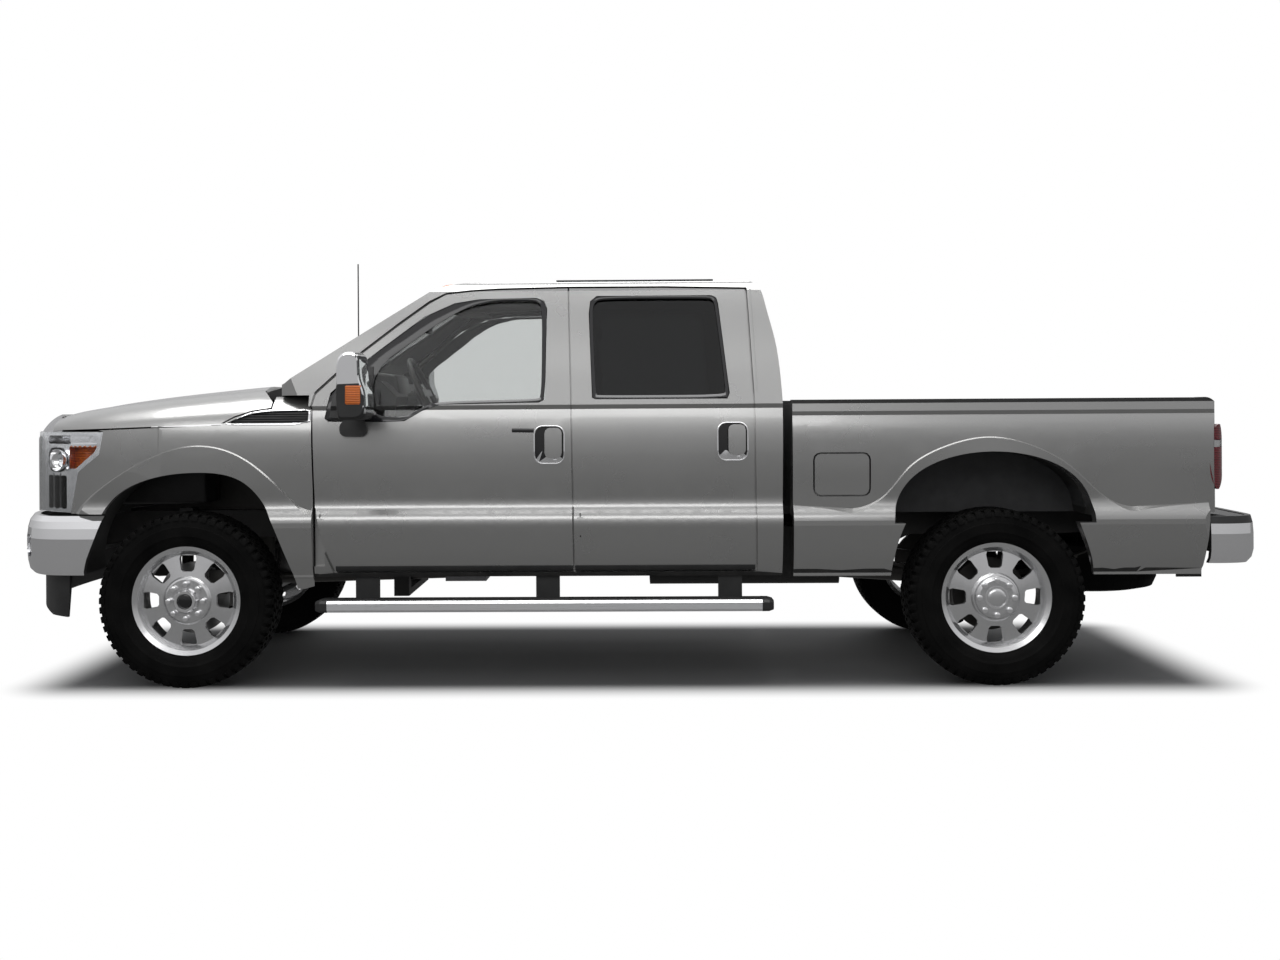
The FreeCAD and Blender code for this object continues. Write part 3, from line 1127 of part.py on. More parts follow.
def build_driveline():
    axle_z = RADIUS
    engine_rear = -1780
    keep("engine", sized_box("engine", Length="sizes.engine_length", Width="sizes.engine_width",
                             Height="sizes.engine_height", x=f"{engine_rear} - sizes.engine_length",
                             y="-sizes.engine_width / 2", z="sizes.engine_bottom"))
    case = sized_box("gearbox_case", Length="sizes.gearbox_length", Width="sizes.gearbox_width",
                     Height="sizes.gearbox_height", x=engine_rear, y="-sizes.gearbox_width / 2",
                     z="sizes.engine_bottom + 35 - sizes.gearbox_height")
    transfer = sized_box("transfer_case", Length="sizes.transfer_length", Width="sizes.transfer_width",
                         Height="sizes.transfer_height", x=f"{engine_rear} + sizes.gearbox_length",
                         y="sizes.gearbox_width / 2 - sizes.transfer_width",
                         z="sizes.engine_bottom - 10 - sizes.transfer_height")
    drive = keep("gearbox", joined("gearbox", [case, transfer]))
    doc.recompute()
    gearbox = drive.Shape
    shafts = [bar(v(-980, -195, 480), v(FRONT_AXLE + 126, -200, axle_z + 20), 30),
              bar(v(-760, 0, 600), v(REAR_AXLE - 240, 0, axle_z + 15), 50)]
    add("driveshafts", [cut(shaft, gearbox, build_front_axle(), build_rear_axle()) for shaft in shafts])
    tank = sized_box("tank_block", Length="sizes.tank_length", Width="sizes.tank_width", Height="sizes.tank_height",
                     x=120, y="-90 - sizes.tank_width", z="sizes.tank_bottom")
    rounded_tank = doc.addObject("Part::Fillet", "fuel_tank")
    rounded_tank.Base = tank
    doc.recompute()
    rounded_tank.Edges = [(index, 40, 40) for index, edge in enumerate(tank.Shape.Edges, start=1)
                          if abs(edge.Length - size("tank_length")) < 1e-6]
    keep("fuel_tank", rounded_tank)
    pipe = fuse(bar(v(-1780, 215, 640), v(-600, 215, 490), 38), bar(v(-600, 215, 490), v(1350, 215, 470), 38),
                bar(v(400, 215, 480), v(1000, 215, 474), 100), bar(v(-500, 215, 480), v(-500, 215, 640), 6),
                bar(v(1250, 215, 470), v(1250, 215, 640), 6))
    add("exhaust", pipe)
    centre = v(SPARE_X, 0, SPARE_Z)
    tread = [(240, -110), (330, -130), (395, -115), (415, -70), (415, 70), (395, 115), (330, 130), (240, 110)]
    disc = Part.makeCylinder(246, 40, centre - v(0, 0, 20))
    add("spare_wheel", fuse(faceted_ring(tread, centre, True), disc))


def build_rear_axle():
    z = RADIUS
    tube = bar(v(REAR_AXLE, -800, z), v(REAR_AXLE, 800, z), 50)
    diff = Part.makeSphere(160, v(REAR_AXLE, 0, z))
    track = size("rear_track") / 2
    hubs = [bar(v(REAR_AXLE, s * 760, z), v(REAR_AXLE, s * (track + HUB_SEAT - HUB_GAP), z), size("hub_radius"))
            for s in (-1, 1)]
    hubs += [bar(v(REAR_AXLE, s * 760, z), v(REAR_AXLE, s * (track + SPINDLE_REACH), z), SPINDLE) for s in (-1, 1)]
    drums = [bar(v(REAR_AXLE, s * 770, z), v(REAR_AXLE, s * 800, z), 180) for s in (-1, 1)]
    nose = bar(v(REAR_AXLE - 240, 0, z + 15), v(REAR_AXLE, 0, z), 60)
    ears = [block(REAR_AXLE, REAR_AXLE + 150, s * 485 - 20, s * 485 + 20, z - 23, 440) for s in (-1, 1)]
    return fuse(tube, diff, hubs, drums, nose, ears)


def build_springs():
    """Leaf packs of three leaves with their clamps at the rear, and coils at the front."""
    line = [(1150, 640), (1450, 550), (1800, 510), (2150, 560), (2450, 670)]
    springs = []
    for s in (-1, 1):
        y = s * 570
        leaves = []
        for count, (front, rear) in enumerate(((1100, 2500), (1300, 2300), (1480, 2120))):
            high, low = moved(line, 0, -9 * count), moved(line, 0, -9 * count - 9)
            leaf = side_prism(y - 38, y + 38, ("curve", high), ("curve", low[::-1]))
            leaves.append(leaf.common(block(front, rear, y - 50, y + 50, 400, 800)))
        clamp = block(REAR_AXLE - 60, REAR_AXLE + 60, y - 44, y + 44, 483, 522)
        springs.append(fuse(leaves, clamp))
        springs.append(bar(v(FRONT_AXLE, s * 540, SPRING_SEAT), v(FRONT_AXLE, s * 540, 800), 68))
    return springs


def build_shocks():
    shocks = []
    for s in (-1, 1):
        shocks.append(bar(v(FRONT_AXLE - 130, s * 520, 480), v(FRONT_AXLE - 130, s * 500, 860), 30))
        shocks.append(bar(v(REAR_AXLE + 120, s * 485, 440), v(REAR_AXLE + 200, s * 475, 800), 30))
    return shocks


def build_crossmembers():
    inner = size("rail_half_width") - size("rail_width")
    members = [block(x - w, x + w, -inner, inner, z, z + h) for x, w, z, h in
               ((-2860, 40, 680, 80), (-500, 40, 640, 80), (1250, 40, 640, 80), (1800, 40, 780, 60),
                (SPARE_X, 30, 780, 60), (2700, 40, 760, 80))]
    members.append(fuse(members.pop(4), bar(v(SPARE_X, 0, SPARE_Z + 20), v(SPARE_X, 0, 790), 12)))
    members += [block(-2150, -2050, min(s * 290, s * inner), max(s * 290, s * inner), 720, 765) for s in (-1, 1)]
    legs = [block(-1240, -1160, min(s * 300, s * inner), max(s * 300, s * inner), 375, 700) for s in (-1, 1)]
    members.append(fuse(block(-1240, -1160, -310, 310, 375, 410), legs))
    return members


def build_sides():
    """The pieces that come in left and right pairs."""
    fender = build_fender()
    mirrored("fender_right", add("fender_left", fender))
    for which, window in (("front", FRONT_WINDOW), ("rear", REAR_WINDOW)):
        door = build_door(which, window)
        mirrored(f"door_{which}_right", add(f"door_{which}_left", door))
        pane = glass_pane(window)
        mirrored(f"window_{which}_right", add(f"window_{which}_left", pane))
        if which == "front":
            mirrored("mirror_right", add("mirror_left", cut(build_mirror(), door)))
    front = "sizes.front_overhang - sizes.overall_length / 2"
    for place, at, x, track, cap in (("front", FRONT_AXLE, front, "front_track", FRONT_CAP),
                                     ("rear", REAR_AXLE, f"{front} + sizes.wheelbase", "rear_track", REAR_CAP)):
        mirrored(f"tyre_{place}_right", add(f"tyre_{place}_left", build_tyre(at, -size(track) / 2)))
        mirrored(f"rim_{place}_right", build_rim(f"rim_{place}_left", x, f"sizes.{track}", cap))
    mirrored("knuckle_right", build_knuckle())
    add("wheel_liners", both(build_liner(fender)))


def build_cab_group():
    """The cab with its glass, cowl, mast and roof panel."""
    cab = build_cab()
    add("cab_shell", cab)
    glass_slab = side_prism(-800, 800, ("line", [(-1650, 1511), (-975, 1948), (-972, 1943), (-1647, 1506)]))
    glass_slab = glass_slab.common(shield_width())
    rear_pane = side_prism(-640, 640, ("line", [(742, 1450), (737, 1500), (716, 1700), (690, 1850), (685, 1850),
                                                (711, 1700), (732, 1500), (737, 1450)]))
    add("cab_glass", [glass_slab, rear_pane])
    keep("moonroof", sized_box("moonroof", Length="sizes.moonroof_length", Width="sizes.moonroof_width", Height=24,
                               x=-365, y="-sizes.moonroof_width / 2", z="sizes.body_top - 18"))
    mast = fuse(bar(v(-1655, 880, 1440), v(-1655, 880, 2263), 4), bar(v(-1655, 880, 1440), v(-1655, 880, 1560), 16))
    add("antenna", mast.cut(cab))
    add("cowl", build_cowl())
    add("hood", build_hood())


def build_chassis():
    """Axles, frame, springs and drive."""
    front, rear, rails = build_front_axle(), build_rear_axle(), build_rails()
    add("front_axle", front)
    add("rear_axle", rear)
    build_tie_rod()
    add("springs", build_springs())
    add("frame_rails", rails)
    add("shock_absorbers", [cut(shock, front, rear, *rails) for shock in build_shocks()])
    add("crossmembers", build_crossmembers())
    build_driveline()
    add("hitch", build_hitch())
    add("running_boards", both(build_step()))


def build_all():
    build_cab_group()
    build_sides()
    build_chassis()
    build_interior()
    add("grille", build_grille())
    add("headlamps", build_headlamp() + [mirror(piece) for piece in build_headlamp()])
    add("front_bumper", build_front_bumper())
    add("valance", build_valance())
    add("rear_bumper", build_rear_bumper())
    add("bed", build_bed())
    add("tailgate", build_tailgate())
    add("tail_lamps", both(build_tail_lamp()))
    add("fuel_door", build_fuel_door())
    cap = side_prism(-952, -846, ("line", [(815, 1384), (815, 1403), (2800, 1403)]),
                     ("curve", [(2800, 1403), (2842, 1399), (2862, 1384)]))
    add("bed_rails", both(cap))


def export_all():
    doc.recompute()
    for obj in doc.Objects:
        if "Invalid" in obj.State or "Error" in obj.State:
            raise SystemExit(f"{obj.Label} did not build")
    os.makedirs("parts", exist_ok=True)
    for part in nodes:
        shape = part.Shape
        if shape.isNull() or not shape.isValid() or not shape.Solids:
            raise SystemExit(f"{part.Label} has no valid solid")
        shape.exportStep(f"parts/{part.Label}.step")
        print(part.Label, len(shape.Solids), len(shape.Faces), round(shape.Volume / 1e6, 2))


build_all()
export_all()
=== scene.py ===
import json
import math

import bmesh
import bpy
from mathutils import Matrix, Vector
from mathutils.bvhtree import BVHTree

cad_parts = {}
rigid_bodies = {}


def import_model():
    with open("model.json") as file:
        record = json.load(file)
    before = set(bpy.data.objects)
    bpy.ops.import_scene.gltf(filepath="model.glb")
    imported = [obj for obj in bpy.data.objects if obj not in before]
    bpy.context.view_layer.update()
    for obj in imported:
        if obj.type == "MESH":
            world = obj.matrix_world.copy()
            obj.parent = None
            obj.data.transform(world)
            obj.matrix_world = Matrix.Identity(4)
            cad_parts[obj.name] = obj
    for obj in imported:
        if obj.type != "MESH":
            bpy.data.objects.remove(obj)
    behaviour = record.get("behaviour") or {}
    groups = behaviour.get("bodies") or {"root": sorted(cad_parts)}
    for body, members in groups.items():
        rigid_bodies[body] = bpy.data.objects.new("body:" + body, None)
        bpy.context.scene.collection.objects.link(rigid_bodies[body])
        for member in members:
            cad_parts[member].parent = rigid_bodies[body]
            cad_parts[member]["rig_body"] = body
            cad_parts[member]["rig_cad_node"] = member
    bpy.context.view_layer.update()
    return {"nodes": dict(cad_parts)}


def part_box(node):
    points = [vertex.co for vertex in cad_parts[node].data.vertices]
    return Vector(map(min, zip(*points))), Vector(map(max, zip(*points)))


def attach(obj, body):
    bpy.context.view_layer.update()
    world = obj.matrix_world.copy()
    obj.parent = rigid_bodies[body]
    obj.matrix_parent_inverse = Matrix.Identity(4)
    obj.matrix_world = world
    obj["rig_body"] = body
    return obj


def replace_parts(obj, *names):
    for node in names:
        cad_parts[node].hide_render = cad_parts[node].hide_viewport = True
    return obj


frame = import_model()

SIDES = {"left": -1, "right": 1}
TYRE_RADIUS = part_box("tyre_front_left")[1].z / 2
DRAWN_RADIUS = 0.4327  # the radius for which the tyre's profile and tread are drawn


# Finishes

def finish_of(name, colour, roughness, metallic=0.0, **sockets):
    """A new material with its shader's sockets set by name."""
    made = bpy.data.materials.new(name)
    made.use_nodes = True
    shader = made.node_tree.nodes["Principled BSDF"]
    shader.inputs["Base Color"].default_value = (*colour, 1)
    shader.inputs["Roughness"].default_value = roughness
    shader.inputs["Metallic"].default_value = metallic
    for socket, value in sockets.items():
        shader.inputs[socket.replace("_", " ")].default_value = value
    return made, made.node_tree, shader


def node(tree, kind, **values):
    """One step of a finish, with its settings and inputs given by name."""
    made = tree.nodes.new("ShaderNode" + kind)
    for key, value in values.items():
        if key in made.inputs:
            made.inputs[key].default_value = value
        else:
            setattr(made, key, value)
    return made


def wire(tree, *links):
    """Links outputs to inputs, pair by pair."""
    for output, socket in links:
        tree.links.new(output, socket)


def place_of(tree, scale):
    """Object coordinates, stretched by a scale."""
    coordinates = node(tree, "TexCoord")
    mapping = node(tree, "Mapping")
    mapping.inputs["Scale"].default_value = scale
    tree.links.new(coordinates.outputs["Object"], mapping.inputs["Vector"])
    return mapping.outputs["Vector"]


def pattern(tree, kind, output, stretch=(1, 1, 1), **settings):
    """One output of a texture on the piece's own coordinates."""
    texture = node(tree, kind, **settings)
    tree.links.new(place_of(tree, stretch), texture.inputs["Vector"])
    return texture.outputs[output]


def speckle(tree, scale, detail=3.0, stretch=(1, 1, 1)):
    """Soft random spots."""
    return pattern(tree, "TexNoise", "Fac", stretch, Scale=scale, Detail=detail)


def between(tree, factor, low, high, start=0.3, end=0.7):
    """A colour that goes from low to high as the factor goes from start to end."""
    ramp = node(tree, "ValToRGB")
    ramp.color_ramp.elements[0].position = start
    ramp.color_ramp.elements[1].position = end
    ramp.color_ramp.elements[0].color = (*low, 1)
    ramp.color_ramp.elements[1].color = (*high, 1)
    tree.links.new(factor, ramp.inputs["Fac"])
    return ramp.outputs["Color"]


def tint(tree, shader, *fade):
    """A base colour that fades as between() says."""
    tree.links.new(between(tree, *fade), shader.inputs["Base Color"])


def roughen(tree, shader, factor, low, high):
    """Roughness that follows a factor."""
    spread = node(tree, "MapRange")
    spread.inputs["To Min"].default_value = low
    spread.inputs["To Max"].default_value = high
    tree.links.new(factor, spread.inputs["Value"])
    tree.links.new(spread.outputs["Result"], shader.inputs["Roughness"])


def emboss(tree, shader, height, distance, strength=1.0):
    """Small relief that follows a height."""
    bump = node(tree, "Bump", Strength=strength, Distance=distance)
    tree.links.new(height, bump.inputs["Height"])
    tree.links.new(bump.outputs["Normal"], shader.inputs["Normal"])


def silver_paint():
    """Silver-grey metallic paint: flakes under a smooth clear coat."""
    made, tree, shader = finish_of("silver_paint", (0.36, 0.36, 0.35), 0.28, 0.88,
                                   Coat_Weight=0.8, Coat_Roughness=0.04)
    flakes = pattern(tree, "TexVoronoi", "Distance", Scale=900.0)
    tint(tree, shader, flakes, (0.415, 0.414, 0.408), (0.355, 0.354, 0.348), 0.0, 0.9)
    roughen(tree, shader, speckle(tree, 3.0), 0.25, 0.31)
    return made


def polished(name, scale, low, high, *finish, **sockets):
    """A smooth finish whose gloss goes from low to high in soft spots."""
    made, tree, shader = finish_of(name, *finish, **sockets)
    roughen(tree, shader, speckle(tree, scale), low, high)
    return made


def grille_screen():
    """A black mesh of fine wires, its holes painted near-black as the shade behind the mesh."""
    made, tree, shader = finish_of("grille_mesh", (0.01, 0.01, 0.01), 0.5)
    wires = pattern(tree, "TexVoronoi", "Distance", Scale=90.0, feature="DISTANCE_TO_EDGE")
    # Painted shade: the holes between the wires are darker than the wires, as the dark space behind the
    # mesh.
    tint(tree, shader, wires, (0.04, 0.04, 0.042), (0.002, 0.002, 0.002), 0.04, 0.14)
    emboss(tree, shader, wires, 0.004, 0.6)
    return made


def cast_alloy():
    """Polished cast alloy with faint turning marks."""
    made, tree, shader = finish_of("cast_alloy", (0.68, 0.68, 0.685), 0.2, 0.88)
    roughen(tree, shader, speckle(tree, 40.0, 6.0), 0.12, 0.3)
    emboss(tree, shader, speckle(tree, 260.0, 2.0), 0.0004, 0.25)
    return made


def brushed_aluminium():
    made, tree, shader = finish_of("brushed_aluminium", (0.82, 0.82, 0.83), 0.28, 0.7)
    grain = speckle(tree, 60.0, 4.0, (0.06, 6, 6))
    roughen(tree, shader, grain, 0.2, 0.4)
    emboss(tree, shader, grain, 0.0003, 0.2)
    return made


def grained_plastic(name, colour, grain=420.0, low=0.42, high=0.62):
    made, tree, shader = finish_of(name, colour, 0.5)
    texture = speckle(tree, grain, 4.0)
    lifted = tuple(min(part * 1.35 + 0.004, 1) for part in colour)
    tint(tree, shader, speckle(tree, 14.0), colour, lifted)
    roughen(tree, shader, texture, low, high)
    emboss(tree, shader, texture, 0.0006, 0.3)
    return made


def tyre_rubber():
    """Black rubber with a little dust in its fine grain."""
    made, tree, shader = finish_of("tyre_rubber", (0.006, 0.006, 0.006), 0.75, 0.0, Specular_IOR_Level=0.05)
    tint(tree, shader, speckle(tree, 7.0, 5.0), (0.003, 0.003, 0.003), (0.008, 0.0078, 0.0075))
    fine = speckle(tree, 500.0, 3.0)
    roughen(tree, shader, fine, 0.58, 0.8)
    emboss(tree, shader, fine, 0.0008, 0.3)
    return made


def painted_steel():
    """Black chassis paint with a little dust and scale."""
    made, tree, shader = finish_of("painted_steel", (0.012, 0.012, 0.012), 0.55)
    dust = speckle(tree, 11.0, 6.0)
    tint(tree, shader, dust, (0.009, 0.009, 0.009), (0.032, 0.03, 0.028), 0.35, 0.8)
    roughen(tree, shader, dust, 0.4, 0.75)
    emboss(tree, shader, speckle(tree, 120.0, 4.0), 0.001, 0.25)
    return made


def bare_casting(name, colour):
    made, tree, shader = finish_of(name, colour, 0.5, 0.85)
    grain = speckle(tree, 90.0, 5.0)
    roughen(tree, shader, grain, 0.35, 0.65)
    emboss(tree, shader, grain, 0.0015, 0.4)
    return made


def window_glass(name, colour):
    return polished(name, 2.0, 0.01, 0.025, colour, 0.01, Transmission_Weight=1.0, IOR=1.45)


def lamp_lens(name, colour, deep):
    """A moulded lens with fine prisms behind its face."""
    made, tree, shader = finish_of(name, colour, 0.3, 0.0, Transmission_Weight=0.15,
                                   Coat_Weight=0.35, Coat_Roughness=0.03)
    prisms = pattern(tree, "TexWave", "Fac", Scale=38.0, Distortion=0.0, bands_direction="Z")
    tint(tree, shader, prisms, deep, colour, 0.1, 0.9)
    emboss(tree, shader, prisms, 0.002, 0.5)
    return made


def seat_leather():
    """Dark leather with a fine creased grain."""
    made, tree, shader = finish_of("seat_leather", (0.024, 0.023, 0.022), 0.5)
    creases = pattern(tree, "TexVoronoi", "Distance", Scale=230.0, feature="DISTANCE_TO_EDGE")
    tint(tree, shader, speckle(tree, 6.0), (0.02, 0.019, 0.018), (0.034, 0.032, 0.03))
    roughen(tree, shader, speckle(tree, 30.0), 0.4, 0.6)
    emboss(tree, shader, creases, 0.001, 0.35)
    return made


PAINT = silver_paint()
CHROME = polished("chrome", 6.0, 0.04, 0.11, (0.9, 0.9, 0.91), 0.06, 0.95)
ALLOY = cast_alloy()
ALUMINIUM = brushed_aluminium()
BLACK_PLASTIC = grained_plastic("black_plastic", (0.012, 0.012, 0.012))
TRIM_PLASTIC = grained_plastic("dark_trim", (0.02, 0.019, 0.018), 300.0)
LINER_CLOTH = grained_plastic("roof_lining", (0.2, 0.19, 0.175), 700.0, 0.75, 0.9)
CARPET = grained_plastic("carpet", (0.02, 0.02, 0.021), 900.0, 0.85, 0.95)
GLOSS_BLACK = polished("gloss_black", 9.0, 0.08, 0.18, (0.008, 0.008, 0.009), 0.12, Coat_Weight=0.3)
RUBBER = tyre_rubber()
CHASSIS = painted_steel()
CASTING = bare_casting("grey_casting", (0.25, 0.25, 0.26))
IRON = bare_casting("dark_iron", (0.06, 0.058, 0.055))
EXHAUST = bare_casting("exhaust_steel", (0.32, 0.3, 0.27))
CLEAR_GLASS = window_glass("clear_glass", (0.74, 0.755, 0.75))
DARK_GLASS = window_glass("dark_glass", (0.05, 0.055, 0.055))
LENS = polished("clear_lens", 4.0, 0.01, 0.03, (0.96, 0.97, 0.98), 0.02, Transmission_Weight=1.0, IOR=1.3)
RED_LENS = lamp_lens("red_lens", (0.2, 0.001, 0.01), (0.075, 0.0005, 0.003))
AMBER_LENS = lamp_lens("amber_lens", (0.9, 0.22, 0.01), (0.5, 0.08, 0.004))
LEATHER = seat_leather()
STEP_RUBBER = grained_plastic("step_rubber", (0.02, 0.02, 0.02), 160.0, 0.6, 0.8)
BED_PAINT = grained_plastic("bed_coating", (0.03, 0.03, 0.031), 240.0, 0.55, 0.8)
REFLECTOR = polished("lamp_reflector", 12.0, 0.1, 0.22, (0.7, 0.7, 0.71), 0.1, 1.0)
MIRROR_GLASS = polished("mirror_glass", 12.0, 0.01, 0.03, (0.86, 0.87, 0.88), 0.01, 1.0)
DISC_STEEL = polished("disc_steel", 12.0, 0.25, 0.4, (0.36, 0.36, 0.36), 0.25, 1.0)
PLATE = grained_plastic("blank_plate", (0.75, 0.75, 0.74), 30.0, 0.3, 0.45)
SCREEN = grille_screen()


# Making pieces

def clear_selection():
    for other in bpy.context.selected_objects:
        other.select_set(False)
    bpy.context.view_layer.objects.active = None


def pick(piece, *others):
    clear_selection()
    for other in others:
        other.select_set(True)
    piece.select_set(True)
    bpy.context.view_layer.objects.active = piece


def coat(piece, *materials):
    piece.data.materials.clear()
    for made in materials:
        piece.data.materials.append(made)
    return piece


def loose_parts(mesh):
    """For each face, the box round the loose part that it belongs to."""
    faces = bmesh.new()
    faces.from_mesh(mesh)
    faces.faces.ensure_lookup_table()
    boxes = [None] * len(faces.faces)
    for first in faces.faces:
        if boxes[first.index] is not None:
            continue
        part, edge = [first], [first]
        boxes[first.index] = ()
        while edge:
            face = edge.pop()
            for corner in face.verts:
                for other in corner.link_faces:
                    if boxes[other.index] is None:
                        boxes[other.index] = ()
                        part.append(other)
                        edge.append(other)
        corners = [corner.co for face in part for corner in face.verts]
        box = (Vector([min(c[i] for c in corners) for i in range(3)]),
               Vector([max(c[i] for c in corners) for i in range(3)]))
        for face in part:
            boxes[face.index] = box
    faces.free()
    return boxes


def joined_corners(mesh):
    """Joins the corners that touch and drops the normals that they had apart."""
    faces = bmesh.new()
    faces.from_mesh(mesh)
    bmesh.ops.remove_doubles(faces, verts=faces.verts, dist=0.00002)
    faces.to_mesh(mesh)
    faces.free()
    if "custom_normal" in mesh.attributes:
        mesh.attributes.remove(mesh.attributes["custom_normal"])


def finish_node(name, *coats, angle=None, apart=False):
    """A copy of one of the truck's solids with its finishes. Each coat after the first is a material and
    a test of a face's middle and normal, and of the box round its loose part if these are told apart. With
    an angle the corners are joined and shaded anew; otherwise the surfaces' own normals stay."""
    source = frame["nodes"][name]
    piece = source.copy()
    piece.data = source.data.copy()
    piece.name = f"{name}_finished"
    piece.data.name = piece.name
    if "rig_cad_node" in piece:
        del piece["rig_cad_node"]
    bpy.context.scene.collection.objects.link(piece)
    if angle:
        joined_corners(piece.data)
    coat(piece, coats[0], *[made for made, test in coats[1:]])
    boxes = loose_parts(piece.data) if apart else None
    for face in piece.data.polygons:
        face.material_index = 0
        told = (face.center, face.normal) + ((boxes[face.index],) if apart else ())
        for index, (made, test) in enumerate(coats[1:], start=1):
            if test(*told):
                face.material_index = index
                break
    if angle:
        pick(piece)
        bpy.ops.object.shade_smooth_by_angle(angle=math.radians(angle))
    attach(piece, source["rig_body"])
    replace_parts(piece, name)
    return piece


def edit(piece, *steps):
    """Works some steps on all of a piece's faces."""
    pick(piece)
    bpy.ops.object.mode_set(mode="EDIT")
    for step, settings in steps:
        bpy.ops.mesh.select_all(action="SELECT")
        step(**settings)
    bpy.ops.object.mode_set(mode="OBJECT")
    return piece


FACING_OUT = (bpy.ops.mesh.normals_make_consistent, {"inside": False})


def finished(piece, name, body, *materials, angle=35):
    """Names a piece, gives it its finish, and seats it on its body."""
    piece.name = name
    piece.data.name = name
    coat(piece, *materials)
    pick(piece)
    bpy.ops.object.shade_smooth_by_angle(angle=math.radians(angle))
    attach(piece, body)
    return piece


def merged(first, *others):
    """Several pieces made into one."""
    pick(first, *others)
    bpy.ops.object.join()
    return first


def twin(piece, matrix):
    """A copy of a piece with a mesh of its own, moved by a matrix."""
    copy = piece.copy()
    copy.data = piece.data.copy()
    bpy.context.scene.collection.objects.link(copy)
    copy.data.transform(matrix)
    if matrix.determinant() < 0:
        copy.data.flip_normals()
    return copy


ACROSS = Matrix.Scale(-1, 4, (0, 1, 0))


def pair(left, name, body, *materials, angle=35):
    """Finishes a left piece and its mirror image on the right; {side} in a name stands for the side."""
    right = twin(left, ACROSS)
    for side, piece in (("left", left), ("right", right)):
        finished(piece, name.format(side=side), body.format(side=side), *materials, angle=angle)


def on_side(hand, near, far):
    """Two distances from the truck's middle as rising y on one side."""
    return sorted((hand * near, hand * far))


def added(primitive, **settings):
    """A new piece of a basic shape at the origin."""
    clear_selection()
    primitive(location=(0, 0, 0), **settings)
    return bpy.context.object


def bevelled(piece, offset, segments):
    """A piece with its edges rounded."""
    return edit(piece, (bpy.ops.mesh.bevel, {"offset": offset, "segments": segments, "affect": "EDGES"}))


def modified(piece, kind, **settings):
    """A piece with one modifier applied."""
    change = piece.modifiers.new("change", kind)
    for key, value in settings.items():
        setattr(change, key, value)
    pick(piece)
    bpy.ops.object.modifier_apply(modifier=change.name)
    return piece


def hexahedron(place):
    """A cube whose corners go where place sends them, from 0 or 1 along each axis."""
    piece = added(bpy.ops.mesh.primitive_cube_add, size=1)
    for vertex in piece.data.vertices:
        vertex.co = place(*(0 if part < 0 else 1 for part in vertex.co))
    return edit(piece, FACING_OUT)


def rounded_block(low, high, bevel):
    """A block between two corners, with its edges rounded."""
    spans = [(a, b - a) for a, b in zip(low, high)]
    place = lambda *parts: tuple(start + span * part for (start, span), part in zip(spans, parts))
    return bevelled(hexahedron(place), bevel, 3)


def quad_block(quad, y0, y1, bevel, segments=3):
    """A block between y0 and y1 whose side is a four-cornered outline in (x, z)."""
    def place(a, b, c):
        x, z = quad[[0, 1, 3, 2][a + 2 * c]]
        return (x, y0 + (y1 - y0) * b, z)

    return bevelled(hexahedron(place), bevel, segments)


def turned(profile, steps=64):
    """A closed profile of (radius, height) points spun round the Z axis."""
    piece = added(bpy.ops.mesh.primitive_circle_add, vertices=len(profile), fill_type="NOTHING")
    for vertex, (radius, height) in zip(piece.data.vertices, profile):
        vertex.co = (radius, 0, height)
    spin = {"steps": steps, "angle": 2 * math.pi, "center": (0, 0, 0), "axis": (0, 0, 1)}
    return edit(piece, (bpy.ops.mesh.spin, spin), (bpy.ops.mesh.remove_doubles, {"threshold": 0.00001}),
                FACING_OUT)


def ringed(piece, count):
    """The same piece repeated round the Z axis."""
    return edit(piece, (bpy.ops.mesh.spin, {"steps": count - 1, "dupli": True,
                                            "angle": 2 * math.pi * (count - 1) / count,
                                            "center": (0, 0, 0), "axis": (0, 0, 1)}))


def aimed(place, direction):
    """The matrix that takes the Z axis at the origin to a direction at a place."""
    turn = Vector(direction).to_track_quat("Z", "Y").to_matrix().to_4x4()
    return Matrix.Translation(Vector(place)) @ turn


def rod(start, end, radius, vertices=20, bevel=0.0):
    """A round bar between two points."""
    start, end = Vector(start), Vector(end)
    piece = added(bpy.ops.mesh.primitive_cylinder_add, vertices=vertices, radius=radius,
                  depth=(end - start).length)
    if bevel:
        bevelled(piece, bevel, 2)
    piece.data.transform(aimed((start + end) / 2, end - start))
    return piece


def thickened(piece, thickness):
    """A flat piece given a thickness on both sides of its faces, with its edges eased."""
    modified(piece, "SOLIDIFY", thickness=thickness, offset=0)
    modified(piece, "BEVEL", width=0.0008, segments=2, limit_method="ANGLE", angle_limit=math.radians(40))
    return edit(piece, FACING_OUT)


def softened(outline, times=2):
    """An outline with its corners cut back, twice by default."""
    for _ in range(times):
        outline = [(a[0] + (b[0] - a[0]) * part, a[1] + (b[1] - a[1]) * part)
                   for a, b in zip(outline, outline[1:] + outline[:1]) for part in (0.2, 0.8)]
    return outline


def grown(outline, amount):
    """An outline moved out by about an amount on every side."""
    xs, zs = [x for x, z in outline], [z for x, z in outline]
    cx, cz = (min(xs) + max(xs)) / 2, (min(zs) + max(zs)) / 2
    kx, kz = 1 + 2 * amount / (max(xs) - min(xs)), 1 + 2 * amount / (max(zs) - min(zs))
    return [(cx + (x - cx) * kx, cz + (z - cz) * kz) for x, z in outline]


def rounded_outline(x0, x1, z0, z1, corner):
    """A rectangle in (x, z) with its corners rounded."""
    outline = []
    for cx, cz, begin in ((x1 - corner, z1 - corner, 0), (x0 + corner, z1 - corner, 90),
                          (x0 + corner, z0 + corner, 180), (x1 - corner, z0 + corner, 270)):
        for step in range(7):
            angle = math.radians(begin + 90 * step / 6)
            outline.append((cx + corner * math.cos(angle), cz + corner * math.sin(angle)))
    return outline


